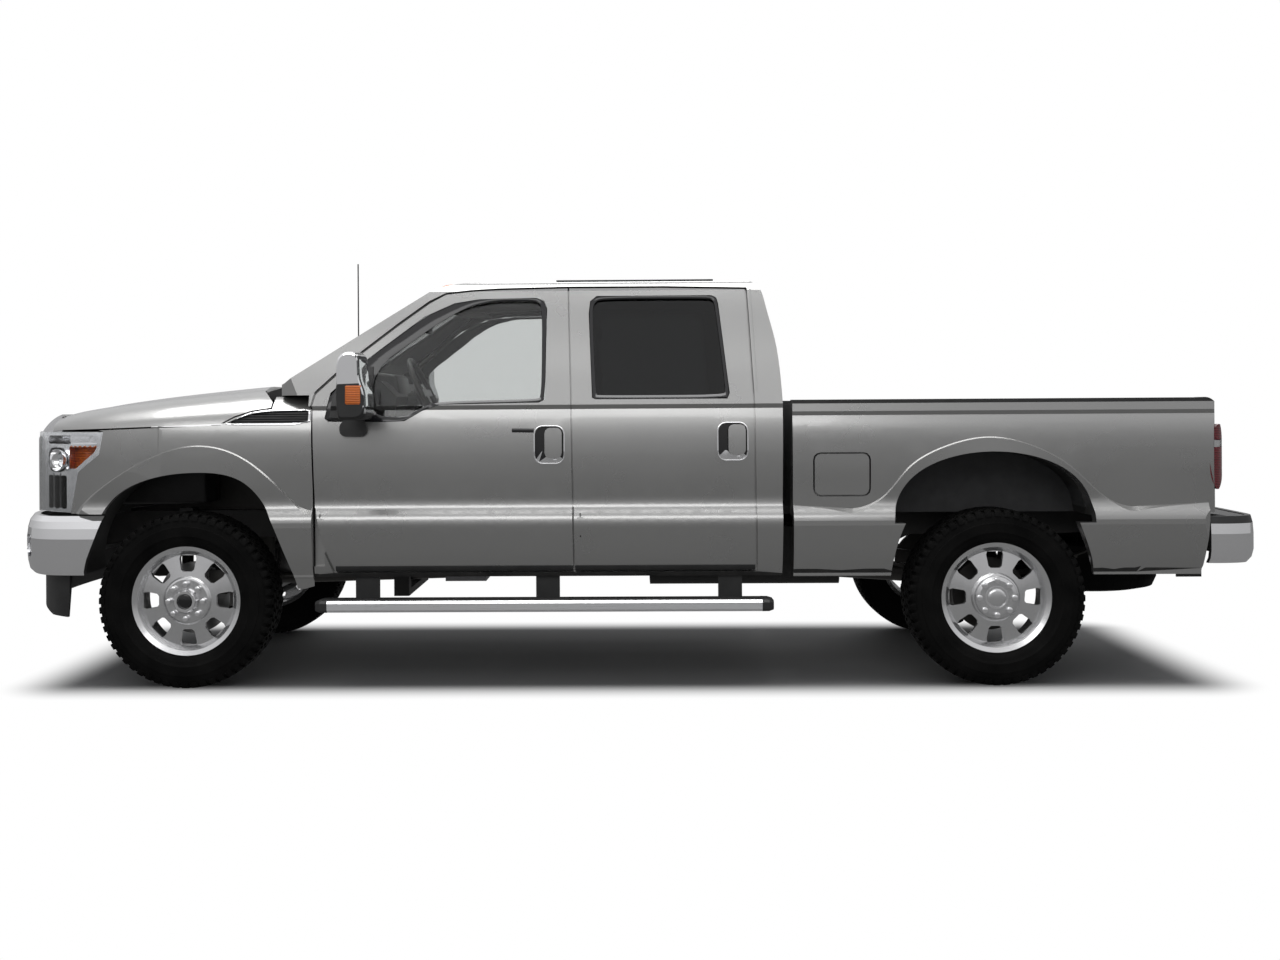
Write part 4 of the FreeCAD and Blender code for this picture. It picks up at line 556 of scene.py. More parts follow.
def leaves(outline, centre, angle):
    """Where a ray from a centre leaves an outline."""
    dx, dz = math.cos(angle), math.sin(angle)
    best = 0
    for (ax, az), (bx, bz) in zip(outline, outline[1:] + outline[:1]):
        ex, ez = bx - ax, bz - az
        cross = dx * ez - dz * ex
        if abs(cross) < 1e-12:
            continue
        wx, wz = ax - centre[0], az - centre[1]
        reach, along = (wx * ez - wz * ex) / cross, (wx * dz - wz * dx) / cross
        if reach > best and -1e-9 <= along <= 1 + 1e-9:
            best = reach
    return (centre[0] + dx * best, centre[1] + dz * best)


def ring(outer, inner, centre, across, thickness):
    """A flat band between two outlines; across gives y for a point and whether it is on the outer one."""
    angles = {round(2 * math.pi * step / 96, 4) for step in range(96)}
    for x, z in outer + inner:
        angles.add(round(math.atan2(z - centre[1], x - centre[0]) % (2 * math.pi), 4))
    rising = sorted(angles)
    angles = [angle for i, angle in enumerate(rising) if i == 0 or angle - rising[i - 1] > 0.004]
    loops = []
    for outline, is_outer in ((outer, True), (inner, False)):
        loop = added(bpy.ops.mesh.primitive_circle_add, vertices=len(angles), fill_type="NOTHING")
        for vertex, angle in zip(loop.data.vertices, angles):
            x, z = leaves(outline, centre, angle)
            vertex.co = (x, across(x, z, is_outer), z)
        loops.append(loop)
    band = merged(*loops)
    edit(band, (bpy.ops.mesh.bridge_edge_loops, {}))
    return thickened(band, thickness)


def strip(first, second, across, thickness, count=60):
    """A flat band between two lines in (x, z); across gives y for a point."""
    def along(line, part):
        spans = [math.dist(a, b) for a, b in zip(line, line[1:])]
        left = part * sum(spans)
        for (a, b), span in zip(zip(line, line[1:]), spans):
            if left <= span or (a, b) == (line[-2], line[-1]):
                return (a[0] + (b[0] - a[0]) * left / span, a[1] + (b[1] - a[1]) * left / span)
            left -= span

    band = added(bpy.ops.mesh.primitive_grid_add, x_subdivisions=count, y_subdivisions=2, size=2)
    for vertex in band.data.vertices:
        part, over = (vertex.co.x + 1) / 2, (vertex.co.y + 1) / 2
        (ax, az), (bx, bz) = along(first, part), along(second, part)
        x, z = ax + (bx - ax) * over, az + (bz - az) * over
        vertex.co = (x, across(x, z), z)
    return thickened(band, thickness)


def left_skin(name):
    """Gives the outer y of a solid's left side at a place, moved out by a lift."""
    mesh = frame["nodes"][name].data
    tree = BVHTree.FromPolygons([corner.co for corner in mesh.vertices],
                                [face.vertices for face in mesh.polygons])

    def across(x, z, lift):
        hit = tree.ray_cast(Vector((x, -1.5, z)), Vector((0, 1, 0)))[0]
        reach = -hit.y if hit is not None and hit.y < -0.5 else 0.97
        return -(reach + lift)

    return across


# The body's half-width against height, from the sill to the roof's edge.
SIDE_PROFILE = [(0.950, 0.545), (0.974, 0.600), (0.991, 0.680), (1.000, 0.760), (1.003, 0.815),
                (0.995, 0.848), (0.974, 0.882), (0.968, 0.910), (0.970, 0.960), (0.975, 1.060),
                (0.976, 1.160), (0.971, 1.270), (0.957, 1.364), (0.965, 1.386), (0.942, 1.440),
                (0.902, 1.540), (0.848, 1.700), (0.794, 1.850), (0.748, 1.960)]


def half_width(z):
    for (wide, low), (next_wide, high) in zip(SIDE_PROFILE, SIDE_PROFILE[1:]):
        if z <= high:
            return wide + (next_wide - wide) * (z - low) / (high - low)
    return SIDE_PROFILE[-1][0]


# The stage, the camera and the light

SHADOW_REACH = (2.72, 0.85, 0)  # half the length and width of the floor's dark grey patch round the truck, a painted shadow
# how far out the painted shadow fades to white
SHADOW_FADE = 0.42


def stage_floor():
    """A floor whose own colour is a dark grey round the truck, a painted shadow that the rendered shadow
    also falls on, and that goes over into the white background away from the truck.
    """
    clear_selection()
    bpy.ops.mesh.primitive_plane_add(size=120, location=(0, 0, -0.0005))
    floor = bpy.context.object
    floor.name = "studio_floor"
    # Painted shadow: the camera sees the floor's dark grey colour only round the truck, fading to white
    # emission further out.
    made, tree, shader = finish_of("floor_with_painted_shadow", (0.21, 0.21, 0.21), 0.85, 0.0, Specular_IOR_Level=0.1)
    coordinates = node(tree, "TexCoord")
    size = node(tree, "VectorMath", operation="ABSOLUTE")
    past = node(tree, "VectorMath", operation="SUBTRACT")
    past.inputs[1].default_value = SHADOW_REACH
    kept = node(tree, "VectorMath", operation="MAXIMUM")
    away = node(tree, "VectorMath", operation="LENGTH")
    fade = node(tree, "MapRange", interpolation_type="SMOOTHSTEP")
    fade.inputs["From Min"].default_value = 0.0
    fade.inputs["From Max"].default_value = SHADOW_FADE
    rays = node(tree, "LightPath")
    seen = node(tree, "Math", operation="MULTIPLY")
    white = node(tree, "Emission")
    mix = node(tree, "MixShader")
    # Painted reflection: in reflections the floor is a fixed dim grey glow, not a lit floor.
    reflected_floor_glow = node(tree, "Emission", Strength=0.22)
    whole = node(tree, "MixShader")
    wire(tree,
         (coordinates.outputs["Object"], size.inputs[0]), (size.outputs[0], past.inputs[0]),
         (past.outputs[0], kept.inputs[0]), (kept.outputs[0], away.inputs[0]),
         (away.outputs["Value"], fade.inputs["Value"]), (fade.outputs["Result"], seen.inputs[0]),
         (rays.outputs["Is Camera Ray"], seen.inputs[1]), (seen.outputs[0], mix.inputs["Fac"]),
         (shader.outputs[0], mix.inputs[1]), (white.outputs[0], mix.inputs[2]),
         (rays.outputs["Is Glossy Ray"], whole.inputs["Fac"]), (mix.outputs[0], whole.inputs[1]),
         (reflected_floor_glow.outputs[0], whole.inputs[2]),
         (whole.outputs[0], tree.nodes["Material Output"].inputs["Surface"]))
    coat(floor, made)


def photo_camera():
    """The photograph's viewpoint: level with the hood, eight metres out on the left side."""
    data = bpy.data.cameras.new("photo_camera")
    camera = bpy.data.objects.new("photo_camera", data)
    bpy.context.scene.collection.objects.link(camera)
    data.lens = 41.03
    data.sensor_width = 36
    data.shift_x = 0.0271
    data.shift_y = -0.0579
    data.clip_end = 200
    camera.location = (0.0228, -8.102, 1.3786)
    level = Matrix.Rotation(0.0174, 4, "Z") @ Matrix.Rotation(math.radians(90), 4, "X")
    camera.rotation_euler = (level @ Matrix.Rotation(-0.0062, 4, "Z")).to_euler()
    bpy.context.scene.camera = camera


def soft_box(name, place, target, width, height, power):
    data = bpy.data.lights.new(name, "AREA")
    data.shape = "RECTANGLE"
    data.size, data.size_y = width, height
    data.energy = power
    lamp = bpy.data.objects.new(name, data)
    bpy.context.scene.collection.objects.link(lamp)
    lamp.location = place
    lamp.rotation_euler = (Vector(target) - Vector(place)).to_track_quat("-Z", "Y").to_euler()


def studio():
    """Soft boxes, a white background, and a sky that is darker towards the horizon in reflections."""
    soft_box("roof_box", (0, -0.5, 6.5), (0, 0, 0), 9, 5, 560)
    soft_box("left_box", (-1.5, -9.5, 5.5), (0, 0, 0.9), 8, 3, 150)
    soft_box("right_box", (2, 9, 5), (0, 0, 1), 8, 3, 160)
    world = bpy.data.worlds.new("studio_world")
    bpy.context.scene.world = world
    world.use_nodes = True
    tree = world.node_tree
    tree.nodes.clear()
    coordinates = node(tree, "TexCoord")
    parts = node(tree, "SeparateXYZ")
    sky = between(tree, parts.outputs["Z"], (0.42, 0.42, 0.425), (0.78, 0.78, 0.79), 0.04, 0.5)
    rays = node(tree, "LightPath")
    seen = node(tree, "Math", operation="MAXIMUM")
    lit = node(tree, "Background", Strength=0.5)
    lit.inputs["Color"].default_value = (0.95, 0.97, 1, 1)
    mirrored = node(tree, "Background", Strength=1.0)
    shown = node(tree, "Background", Strength=1.0)
    shown.inputs["Color"].default_value = (1, 1, 1, 1)
    glossy = node(tree, "MixShader")
    mix = node(tree, "MixShader")
    out = node(tree, "OutputWorld")
    wire(tree,
         (coordinates.outputs["Generated"], parts.inputs[0]), (sky, mirrored.inputs["Color"]),
         (rays.outputs["Is Camera Ray"], seen.inputs[0]),
         (rays.outputs["Is Transmission Ray"], seen.inputs[1]),
         (rays.outputs["Is Glossy Ray"], glossy.inputs["Fac"]), (lit.outputs[0], glossy.inputs[1]),
         (mirrored.outputs[0], glossy.inputs[2]), (seen.outputs[0], mix.inputs["Fac"]),
         (glossy.outputs[0], mix.inputs[1]), (shown.outputs[0], mix.inputs[2]),
         (mix.outputs[0], out.inputs["Surface"]))
    bpy.context.scene.view_settings.view_transform = "Standard"


stage_floor()
photo_camera()
studio()


# Body panels and the other solids that keep their shape

VENT = [(-1.968, 1.304), (-1.922, 1.325), (-1.848, 1.35), (-1.76, 1.361), (-1.564, 1.365), (-1.564, 1.304)]
MARKER = [(-2.762, 1.08), (-2.718, 1.08), (-2.618, 1.164), (-2.604, 1.194), (-2.762, 1.194)]
HANDLES = {"front": (-0.447, 1.101), "rear": (0.45, 1.113)}
CUP = (0.14, 0.178)  # the width and height of a door handle's cup
SKIN_JOINT = -2.285  # where the fender's upright skin behind the headlamp ends
BED_WALL = 0.86
CABIN_WALL = 0.93


def inside(outline, x, z):
    """Whether a point is inside an outline."""
    odd = False
    for (ax, az), (bx, bz) in zip(outline, outline[1:] + outline[:1]):
        if (az > z) != (bz > z) and x < ax + (bx - ax) * (z - az) / (bz - az):
            odd = not odd
    return odd


def looks_inward(m, n):
    """Whether a face with middle m and normal n looks towards the truck's middle."""
    return n.y * m.y < -0.2


def in_vent(m):
    return inside(grown(VENT, 0.001), m.x, m.z) and abs(m.y) < half_width(m.z) - 0.002


def on_slat(m, n):
    return in_vent(m) and abs(n.y) > 0.7 and abs(m.y) > half_width(m.z) - 0.0085


def in_cup(which):
    """A test for the faces of a door handle's cup."""
    x, z = HANDLES[which]
    return lambda m, n: (x - 0.001 < m.x < x + CUP[0] + 0.001 and z - 0.001 < m.z < z + CUP[1] + 0.001
                         and CABIN_WALL < abs(m.y) < half_width(m.z) - 0.0035)


def ease_skin(piece):
    """Shades the fender behind the headlamp as the rest of its side, which leans in towards the hood."""
    mesh = piece.data
    normals = [corner.vector.copy() for corner in mesh.corner_normals]
    for face in mesh.polygons:
        if face.center.x < SKIN_JOINT and face.center.z > 1.05 and abs(face.normal.y) > 0.95:
            for index in face.loop_indices:
                z = mesh.vertices[mesh.loops[index].vertex_index].co.z
                lean = (half_width(z - 0.04) - half_width(z + 0.04)) / 0.08
                normals[index].z = max(lean, 0)
                normals[index].normalize()
    mesh.normals_split_custom_set(normals)


finish_node("cab_shell", PAINT,
            (CHASSIS, lambda m, n: n.z < -0.7 and m.z < 0.76 or m.z < 0.56),
            (CARPET, lambda m, n: n.z > 0.7 and m.z < 0.9 and abs(m.y) < 0.86),
            (LINER_CLOTH, lambda m, n: n.z < -0.4 and m.z > 1.8 and abs(m.y) < 0.72),
            (TRIM_PLASTIC, lambda m, n: (m.y * n.y < 0 or abs(n.x) > 0.9) and abs(m.y) < CABIN_WALL
             and -1.55 < m.x < 0.735 and 0.74 < m.z < 1.99))
for side in SIDES:
    ease_skin(finish_node(f"fender_{side}", PAINT, (ALUMINIUM, on_slat),
                          (BLACK_PLASTIC, lambda m, n: looks_inward(m, n) or in_vent(m))))
    for which in HANDLES:
        cup = in_cup(which)
        finish_node(f"door_{which}_{side}", PAINT,
                    (CHROME, lambda m, n: cup(m, n) and m.z < HANDLES[which][1] + 0.03),
                    (GLOSS_BLACK, cup),
                    (TRIM_PLASTIC, lambda m, n: looks_inward(m, n) or abs(m.y) < 0.7),
                    (GLOSS_BLACK, lambda m, n: m.z > 1.33 and abs(n.x) + abs(n.z) > 0.6 and abs(m.y) < 0.9))
finish_node("hood", PAINT, (BLACK_PLASTIC, lambda m, n: n.z < -0.4))
finish_node("bed", PAINT,
            (BED_PAINT, lambda m, n: abs(m.y) < BED_WALL and m.z > 0.86 and n.z > -0.5),
            (CHASSIS, lambda m, n: n.z < -0.4 and m.z < 0.9 or abs(m.y) < BED_WALL))
finish_node("tailgate", PAINT, (BED_PAINT, lambda m, n: n.x < -0.7),
            (GLOSS_BLACK, lambda m, n: abs(m.y) < 0.121 and 1.269 < m.z < 1.341 and m.x < 2.9))
finish_node("fuel_door", PAINT)
finish_node("front_bumper", CHROME, (BLACK_PLASTIC, lambda m, n: n.x > 0.5))
finish_node("rear_bumper", CHROME, (BLACK_PLASTIC, lambda m, n: n.z > 0.8 or n.x < -0.3 or m.z > 0.775))
finish_node("grille", CHROME, (GLOSS_BLACK, lambda m, n: n.x > 0.4))
finish_node("headlamps", REFLECTOR,
            (LENS, lambda m, n, part: part[1].z < 1.265),
            (AMBER_LENS, lambda m, n, part: inside(MARKER, m.x, m.z)),
            (GLOSS_BLACK, lambda m, n, part: 0.882 < m.z < 1.052 and -2.907 < m.x < -2.774
             and n.y * m.y < 0.99),
            angle=28, apart=True)
finish_node("tail_lamps", RED_LENS, (LENS, lambda m, n: 1.16 < m.z < 1.2))
finish_node("running_boards", ALUMINIUM,
            (STEP_RUBBER, lambda m, n: n.z > 0.8 or n.y * m.y < -0.3),
            (BLACK_PLASTIC, lambda m, n: m.x < -1.455 or m.x > 0.65 or m.z > 0.4375))
finish_node("cab_glass", CLEAR_GLASS, (DARK_GLASS, lambda m, n: m.x > 0))
coat(frame["nodes"]["moonroof"], DARK_GLASS)
for side in SIDES:
    finish_node(f"mirror_{side}", BLACK_PLASTIC,
                (MIRROR_GLASS, lambda m, n: n.x > 0.75 and 1.35 < m.z < 1.63 and abs(m.y) > 1.075),
                (CHROME, lambda m, n: m.z > 1.49 and n.x < 0.5 and abs(m.y) > 1.04))
    finish_node(f"knuckle_{side}", IRON,
                (DISC_STEEL, lambda m, n: abs(n.y) > 0.9 and 0.79 < abs(m.y) < 0.84))
    coat(frame["nodes"][f"window_front_{side}"], CLEAR_GLASS)
    coat(frame["nodes"][f"window_rear_{side}"], DARK_GLASS)
    for axle in ("front", "rear"):
        finish_node(f"rim_{axle}_{side}", ALLOY)
for material, names in ((BLACK_PLASTIC, "antenna bed_rails cowl valance wheel_liners"),
                        (IRON, "driveshafts engine front_axle rear_axle springs shock_absorbers"),
                        (CHASSIS, "frame_rails crossmembers tie_rod hitch fuel_tank"),
                        (TRIM_PLASTIC, "dashboard"), (LEATHER, "steering_wheel"),
                        (RUBBER, "spare_wheel"), (EXHAUST, "exhaust"), (CASTING, "gearbox")):
    for name in names.split():
        finish_node(name, material)


# Wheels: tyres with a blocky tread, lug nuts and hub caps

def tyre_casing(radius):
    """The tyre's carcass down to the tread's grooves, round the Z axis, with a raised band on its walls."""
    half = [(0.262, 0.094), (0.267, 0.106), (0.274, 0.113), (0.281, 0.117), (0.284, 0.1215),
            (0.3, 0.1285), (0.318, 0.1325), (0.32, 0.1348), (0.366, 0.135), (0.368, 0.1325),
            (0.386, 0.1295), (0.402, 0.1255), (0.412, 0.119), (0.417, 0.108), (0.4185, 0.085), (0.419, 0)]
    profile = [(r, -w) for r, w in half[:-1]] + [half[-1]] + [(r, w) for r, w in half[-2::-1]]
    return turned([(r * radius / DRAWN_RADIUS, w) for r, w in profile], 96)


# Rows of blocks: span across, radii at the top, radii at the foot, begin and end along a pitch, skew.
TREAD_ROWS = [((0.0895, 0.124), (0.4312, 0.4255), (0.415, 0.396), 0.08, 0.78, 0.0),
              ((0.0475, 0.0835), (0.4322, 0.4316), (0.417, 0.4165), 0.1, 0.84, 0.3),
              ((0.0045, 0.0415), (0.4326, 0.4324), (0.4175, 0.4172), 0.02, 0.8, 0.22)]
PITCHES = 56


def tread(radius):
    """One pitch of the tread's blocks, both sides of the middle, repeated round the tyre."""
    blocks = []
    span = 2 * math.pi / PITCHES
    for hand in (-1, 1):
        for index, ((w0, w1), (top0, top1), (low0, low1), begin, end, skew) in enumerate(TREAD_ROWS):
            shift = (0.5 if hand > 0 else 0.0) + 0.27 * index

            def place(a, b, c):
                wide = (w0, w1)[b]
                reach = ((low0, low1), (top0, top1))[c][b] * radius / DRAWN_RADIUS
                if b and not c and index == 0:
                    wide = 0.1315
                inset = 0.035 if c else 0.0
                angle = span * (shift + (begin + inset, end - inset)[a] + skew * b)
                return (reach * math.cos(angle), reach * math.sin(angle), hand * wide)

            blocks.append(bevelled(hexahedron(place), 0.0016, 1))
    return ringed(merged(*blocks), PITCHES)


def lug_nuts(height, radius, tall, sides):
    """Eight nuts on the wheel's face."""
    nut = added(bpy.ops.mesh.primitive_cylinder_add, vertices=sides, radius=radius, depth=tall)
    nut.data.transform(Matrix.Translation((0.085, 0, height + tall / 2)))
    return ringed(bevelled(nut, radius * 0.22, 2), 8)


# For each axle: the lug nuts' size, the cap's finish, and the profiles of the cap and of the band round it.
HUBS = {"front": ((0.0965, 0.0145, 0.03, 6), GLOSS_BLACK,
                  [(0, 0.1175), (0, 0.1295), (0.026, 0.129), (0.033, 0.1265), (0.0355, 0.1175)],
                  [(0.0385, 0.1325), (0.0395, 0.1345), (0.0515, 0.1345), (0.053, 0.1325)]),
        "rear": ((0.104, 0.015, 0.02, 18), ALLOY,
                 [(0, 0.111), (0, 0.119), (0.03, 0.1185), (0.04, 0.1165), (0.046, 0.111)],
                 [(0.0475, 0.1112), (0.048, 0.114), (0.056, 0.114), (0.057, 0.1112)])}


def build_wheels():
    casing = merged(tyre_casing(TYRE_RADIUS), tread(TYRE_RADIUS))
    drawn = [casing]
    for axle, (nut, cap_finish, cap, band) in HUBS.items():
        parts = [("lug_nuts", lug_nuts(*nut), CHROME), ("hub_cap", turned(cap, 48), cap_finish),
                 ("hub_band", turned(band, 48), CHROME)]
        drawn += [piece for name, piece, material in parts]
        for side, hand in SIDES.items():
            low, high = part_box(f"tyre_{axle}_{side}")
            matrix = aimed((low + high) / 2, (0, hand, 0))
            body = f"wheel_{axle}_{side}"
            tyre = finished(twin(casing, matrix), f"tyre_{axle}_{side}_treaded", body, RUBBER, angle=38)
            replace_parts(tyre, f"tyre_{axle}_{side}")
            for name, piece, material in parts:
                finished(twin(piece, matrix), f"{name}_{axle}_{side}", body, material)
    for piece in drawn:
        bpy.data.objects.remove(piece)


build_wheels()


# Trim along the sides

FRONT_WINDOW = [(-1.463, 1.309), (-1.481, 1.325), (-1.456, 1.451), (-1.277, 1.624), (-1.008, 1.832),
                (-0.86, 1.9), (-0.738, 1.92), (-0.449, 1.925), (-0.41, 1.91), (-0.393, 1.868),
                (-0.397, 1.412), (-0.427, 1.397), (-0.912, 1.389), (-1.0, 1.36), (-1.086, 1.31),
                (-1.18, 1.306)]
FRONT_DAYLIGHT = [(-1.252, 1.338), (-1.248, 1.56), (-1.024, 1.738), (-0.86, 1.846), (-0.777, 1.884),
                  (-0.68, 1.903), (-0.602, 1.908), (-0.45, 1.908), (-0.418, 1.88), (-0.415, 1.424),
                  (-0.44, 1.413), (-0.92, 1.404), (-1.01, 1.374), (-1.085, 1.326)]
REAR_WINDOW = [(-0.167, 1.419), (-0.185, 1.843), (-0.178, 1.905), (-0.145, 1.932), (0.431, 1.932),
               (0.455, 1.92), (0.464, 1.89), (0.509, 1.438), (0.496, 1.411), (-0.15, 1.411)]
ROCKERS = {"front": (-1.428, -0.262), "rear": (-0.254, 0.626)}


def build_window_trim():
    """The rubbers round the side windows, sunk a little into the doors."""
    for which, outline, daylight, centre in (
            ("front", FRONT_WINDOW, FRONT_DAYLIGHT, (-0.76, 1.62)),
            ("rear", REAR_WINDOW, grown(REAR_WINDOW, -0.017), (0.15, 1.67))):
        rubber = ring(softened(grown(outline, -0.0015), 1), softened(daylight), centre,
                      lambda x, z, is_outer: -(half_width(z) - (0.0065 if is_outer else 0.0125)), 0.006)
        pair(rubber, f"window_trim_{which}_{{side}}", f"door_{which}_{{side}}", GLOSS_BLACK, angle=40)


def build_side_trim():
    """Chrome round the vent and the handles' cups, the rocker strips and the keypad."""
    fender = left_skin("fender_left")
    frame_band = ring(softened(grown(VENT, 0.0105), 1), softened(grown(VENT, 0.0012), 1), (-1.72, 1.33),
                      lambda x, z, is_outer: fender(x, z, 0.0012), 0.005)
    pair(frame_band, "vent_frame_{side}", "truck", CHROME)
    for which, (x, z) in HANDLES.items():
        door = left_skin(f"door_{which}_left")
        on_door = f"door_{which}_{{side}}"
        cup, rim = [rounded_outline(x - out, x + CUP[0] + out, z - out, z + CUP[1] + out, corner)
                    for out, corner in ((0.0005, 0.0385), (0.006, 0.044))]
        bezel = ring(rim, cup, (x + CUP[0] / 2, z + CUP[1] / 2),
                     lambda a, b, is_outer: -(half_width(b) + 0.0012), 0.0045)
        lock = [(x + 0.098, depth - half_width(z + 0.02), z + 0.014) for depth in (0.012, -0.001)]
        bezel = merged(bezel, rod(*lock, 0.0085, 24, 0.001))
        pair(bezel, f"handle_bezel_{which}_{{side}}", on_door, CHROME)
        x0, x1 = ROCKERS[which]
        rocker = strip([(x0, 0.6), (x1, 0.6)], [(x0, 0.576), (x1, 0.576)],
                       lambda a, b: door(a, b, 0.0015), 0.006)
        pair(rocker, f"rocker_strip_{which}_{{side}}", on_door, BLACK_PLASTIC)
    keypad = strip([(-0.56, 1.272), (-0.452, 1.27)], [(-0.56, 1.252), (-0.452, 1.25)],
                   lambda a, b: -(half_width(b) + 0.0005), 0.004, count=12)
    finished(keypad, "keypad", "door_front_left", GLOSS_BLACK)


build_window_trim()
build_side_trim()


# Lamps, wipers and small pieces on the cab

FOG_TURN = math.radians(61)


def build_lamps():
    """Roof clearance lamps, the high stop lamp, mirror lamps and the main beams' bowls and bulbs."""
    for index, y in enumerate((-0.5, -0.2, 0.0, 0.2, 0.5)):
        lens = added(bpy.ops.mesh.primitive_uv_sphere_add, segments=32, ring_count=16, radius=1)
        lens.data.transform(Matrix.Translation((-0.905, y, 1.99 if abs(y) > 0.3 else 1.997))
                            @ Matrix.Diagonal((0.062, 0.036, 0.026, 1)))
        finished(lens, f"clearance_lamp_{index}", "truck", AMBER_LENS, angle=60)
    stop = rounded_block((0.64, -0.17, 1.985), (0.672, 0.17, 2.012), 0.006)
    finished(stop, "high_stop_lamp", "truck", RED_LENS)
    for side, hand in SIDES.items():
        y0, y1 = on_side(hand, 1.3, 1.3315)
        lamp = rounded_block((-1.312, y0, 1.388), (-1.232, y1, 1.486), 0.01)
        finished(lamp, f"mirror_lamp_{side}", f"door_front_{side}", AMBER_LENS)
        bowl = turned([(0.01, 0.0), (0.034, 0.008), (0.05, 0.026), (0.054, 0.044), (0.0555, 0.044),
                       (0.052, 0.024), (0.035, 0.005), (0.01, -0.003)], 48)
        bulb = turned([(0, 0.0), (0.007, 0.0), (0.0085, 0.02), (0.006, 0.03), (0, 0.033)], 32)
        fog = turned([(0, 0), (0.046, 0), (0.05, 0.006), (0.048, 0.012), (0.03, 0.017), (0, 0.019)], 48)
        beam = aimed((-2.8, hand * 0.885, 1.127), (-0.55, hand * 0.83, 0))
        ahead = Vector((-math.sin(FOG_TURN), hand * math.cos(FOG_TURN), 0))
        low_beam = aimed(Vector((-2.998, hand * 0.842, 0.7)) - ahead * 0.027, ahead)
        for piece, matrix, name, material, angle in (
                (bowl, beam, "beam_bowl", CHROME, 50), (bulb, beam, "beam_bulb", LENS, 50),
                (fog, low_beam, "fog_lens", LENS, 40)):
            piece.data.transform(matrix)
            finished(piece, f"{name}_{side}", "truck", material, angle=angle)


def build_wipers():
    """Two wiper arms with blades that lie along the windscreen's lower edge."""
    for side, hand in SIDES.items():
        pivot = Vector((-1.752, -0.48 if side == "left" else 0.12, 1.476))
        tip = pivot + Vector((0.085, 0.46 if side == "left" else 0.44, 0.062))
        foot = pivot + Vector((0.07, -0.12, 0.056))
        arm = rod(pivot, pivot + (tip - pivot) * 0.62, 0.0065, 12, 0.001)
        blade = rod(foot, tip, 0.0062, 12, 0.001)
        knob = rod(pivot - Vector((0, 0, 0.02)), pivot + Vector((0, 0, 0.012)), 0.015, 20, 0.003)
        finished(merged(arm, blade, knob), f"wiper_{side}", "truck", BLACK_PLASTIC)


def build_cabin():
    """What shows through the glass: the mirror, a gauge hood, the centre panel, grab handles and visors."""
    mirror = rounded_block((-1.118, -0.125, 1.785), (-1.092, 0.125, 1.85), 0.01)
    stem = rod((-1.105, 0, 1.84), (-1.085, 0, 1.905), 0.009, 16, 0.001)
    hood = quad_block([(-1.38, 1.5), (-1.165, 1.44), (-1.185, 1.545), (-1.33, 1.565)], -0.6, -0.2, 0.018)
    panel = quad_block([(-1.18, 1.19), (-1.14, 1.19), (-1.135, 1.44), (-1.18, 1.47)], -0.15, 0.15, 0.008)
    for piece, name, material in ((mirror, "inside_mirror", BLACK_PLASTIC),
                                  (stem, "inside_mirror_stem", BLACK_PLASTIC),
                                  (hood, "gauge_hood", TRIM_PLASTIC), (panel, "centre_panel", GLOSS_BLACK)):
        finished(piece, name, "truck", material)
    for side, hand in SIDES.items():
        grab = rod((-1.3, hand * 0.77, 1.59), (-1.165, hand * 0.735, 1.7), 0.013, 20, 0.004)
        finished(grab, f"grab_handle_{side}", "truck", TRIM_PLASTIC)
        y0, y1 = on_side(hand, 0.16, 0.56)
        visor = rounded_block((-0.985, y0, 1.905), (-0.8, y1, 1.918), 0.005)
        finished(visor, f"sun_visor_{side}", "truck", LINER_CLOTH)


def build_closures():
    """The plate, the screens behind the front's openings, and the skin over the bed's empty pocket."""
    low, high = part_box("fuel_door")
    x0, x1, z0, z1 = low.x - 0.012, high.x + 0.012, low.z - 0.012, high.z + 0.012
    skin = strip([(x0, z0), (x0, z1)], [(x1, z0), (x1, z1)], lambda a, b: half_width(b) - 0.0012, 0.003)
    plate = rounded_block((3.0755, -0.1525, 0.64), (3.0785, 0.1525, 0.79), 0.001)
    backing = rounded_block((3.06, -0.168, 0.63), (3.075, 0.168, 0.795), 0.004)
    outline = [(-2.962, 0.88), (-2.952, 0.88), (-2.905, 1.235), (-2.915, 1.235)]
    upper = quad_block(outline, -0.64, 0.64, 0.002)
    lower = rounded_block((-3.066, -0.43, 0.59), (-3.056, 0.43, 0.705), 0.002)
    for piece, name, material in ((skin, "bed_side_skin", PAINT), (plate, "number_plate", PLATE),
                                  (backing, "plate_backing", BLACK_PLASTIC),
                                  (upper, "grille_screen", SCREEN), (lower, "bumper_screen", SCREEN)):
        finished(piece, name, "truck", material)


def build_engine_bay():
    """The battery and the air box, which close the view above the front wheels."""
    for side, hand in SIDES.items():
        y0, y1 = on_side(hand, 0.33, 0.58)
        box = rounded_block((-2.64, y0, 0.885), (-2.18, y1, 1.13), 0.015)
        lid = rounded_block((-2.65, y0 - 0.008, 1.085), (-2.17, y1 + 0.008, 1.105), 0.006)
        finished(merged(box, lid), f"bay_box_{side}", "truck", BLACK_PLASTIC)


build_lamps()
build_engine_bay()
build_wipers()
build_cabin()
build_closures()


# Seats: padded cushions on their frames

SEAT_MIDDLE = 0.4
PAD_INSET = 0.012  # how much smaller a pad starts on each side
PAD_STRETCH = 0.022  # how far its cover may move
COVER_FRAMES = 20


def cushion(name, quad, y0, y1, bevel):
    """A seat pad, begun a little smaller than its place and blown up round its filling."""
    cx, cz = sum(x for x, z in quad) / 4, sum(z for x, z in quad) / 4
    drawn = [(x + math.copysign(PAD_INSET, cx - x), z + math.copysign(PAD_INSET, cz - z)) for x, z in quad]
    pad = quad_block(drawn, y0 + PAD_INSET, y1 - PAD_INSET, bevel, 4)
    pad.name = name
    return modified(pad, "REMESH", mode="VOXEL", voxel_size=0.018)


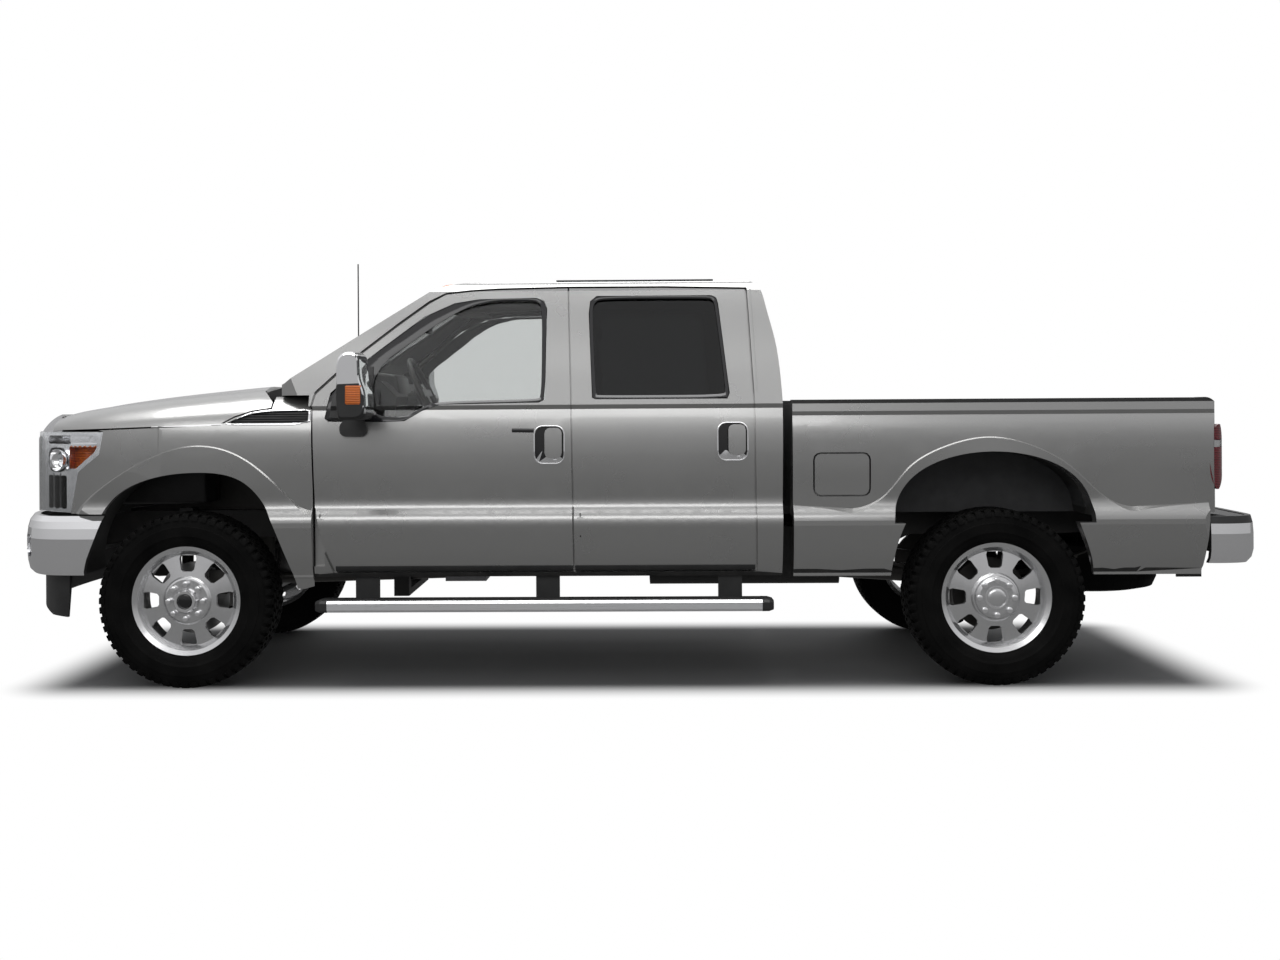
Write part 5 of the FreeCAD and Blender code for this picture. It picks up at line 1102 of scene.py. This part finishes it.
def seat_pads():
    pads = []
    for side, hand in SIDES.items():
        y = hand * SEAT_MIDDLE
        pads += [cushion(f"{name}_{side}", quad, y - half, y + half, bevel) for name, quad, half, bevel in (
            ("seat_cushion", [(-0.86, 0.975), (-0.33, 0.975), (-0.33, 1.165), (-0.86, 1.18)], 0.24, 0.055),
            ("seat_back", [(-0.39, 1.165), (-0.25, 1.165), (-0.13, 1.65), (-0.25, 1.67)], 0.235, 0.05),
            ("head_rest", [(-0.25, 1.7), (-0.15, 1.7), (-0.12, 1.85), (-0.22, 1.86)], 0.13, 0.035))]
    pads += [cushion("bench_cushion", [(0.06, 0.972), (0.5, 0.972), (0.5, 1.15), (0.06, 1.15)],
                     -0.72, 0.72, 0.055),
             cushion("bench_back", [(0.512, 1.12), (0.62, 1.12), (0.655, 1.68), (0.56, 1.69)],
                     -0.72, 0.72, 0.045)]
    return pads


def blow_up(pads):
    """The pads' covers pressed outward from inside, no further than a cover stretches."""
    before = [[corner.co.copy() for corner in pad.data.vertices] for pad in pads]
    for pad in pads:
        cloth = pad.modifiers.new("cover", "CLOTH")
        cloth.settings.use_pressure = True
        cloth.settings.uniform_pressure_force = 4
        cloth.settings.effector_weights.gravity = 0
        cloth.point_cache.frame_end = COVER_FRAMES
    for step in range(1, COVER_FRAMES + 1):
        bpy.context.scene.frame_set(step)
    graph = bpy.context.evaluated_depsgraph_get()
    for pad, corners in zip(pads, before):
        shaped = pad.evaluated_get(graph).to_mesh()
        places = [corner.co.copy() for corner in shaped.vertices]
        pad.evaluated_get(graph).to_mesh_clear()
        pad.modifiers.remove(pad.modifiers["cover"])
        for corner, start, place in zip(pad.data.vertices, corners, places):
            move = place - start
            corner.co = start + move * min(1, PAD_STRETCH / move.length) if move.length > 0 else start
    bpy.context.scene.frame_set(1)


def sew(pad):
    """Sunk seams: two along each pad and shallow channels across its middle."""
    low = Vector([min(corner.co[i] for corner in pad.data.vertices) for i in range(3)])
    high = Vector([max(corner.co[i] for corner in pad.data.vertices) for i in range(3)])
    middle, tall = (low + high) / 2, high.z - low.z > 0.3
    wide = (high.y - low.y) / 2
    seats = 1 if wide < 0.4 else 3
    outward = [corner.normal.copy() for corner in pad.data.vertices]
    for corner, normal in zip(pad.data.vertices, outward):
        across = ((corner.co.y - low.y) / (high.y - low.y) * seats % 1 - 0.5) * 2
        along = corner.co.z if tall else corner.co.x
        sunk = 0.007 * math.exp(-((abs(across) - 0.62) * wide / seats / 0.012) ** 2)
        if abs(across) < 0.62:
            sunk += 0.0035 * math.exp(-((along % 0.09 - 0.045) / 0.009) ** 2)
        corner.co -= normal * sunk


def build_seats():
    pads = seat_pads()
    blow_up(pads)
    for pad in pads:
        modified(pad, "SUBSURF", levels=1)
        if not pad.name.startswith("head_rest"):
            sew(pad)
        finished(pad, pad.name, "truck", LEATHER, angle=60)
        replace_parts(pad, "seats")
    for side, hand in SIDES.items():
        y = hand * SEAT_MIDDLE
        base = rounded_block((-0.8, y - 0.2, 0.761), (-0.38, y + 0.2, 0.962), 0.012)
        posts = [rod((-0.198, y + dy, 1.64), (-0.18, y + dy, 1.705), 0.007, 16) for dy in (-0.055, 0.055)]
        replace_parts(finished(base, f"seat_base_{side}", "truck", TRIM_PLASTIC), "seats")
        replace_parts(finished(merged(*posts), f"head_rest_posts_{side}", "truck", CHROME), "seats")
    stand = rounded_block((0.12, -0.68, 0.761), (0.52, 0.68, 0.962), 0.012)
    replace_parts(finished(stand, "bench_stand", "truck", TRIM_PLASTIC), "seats")


build_seats()
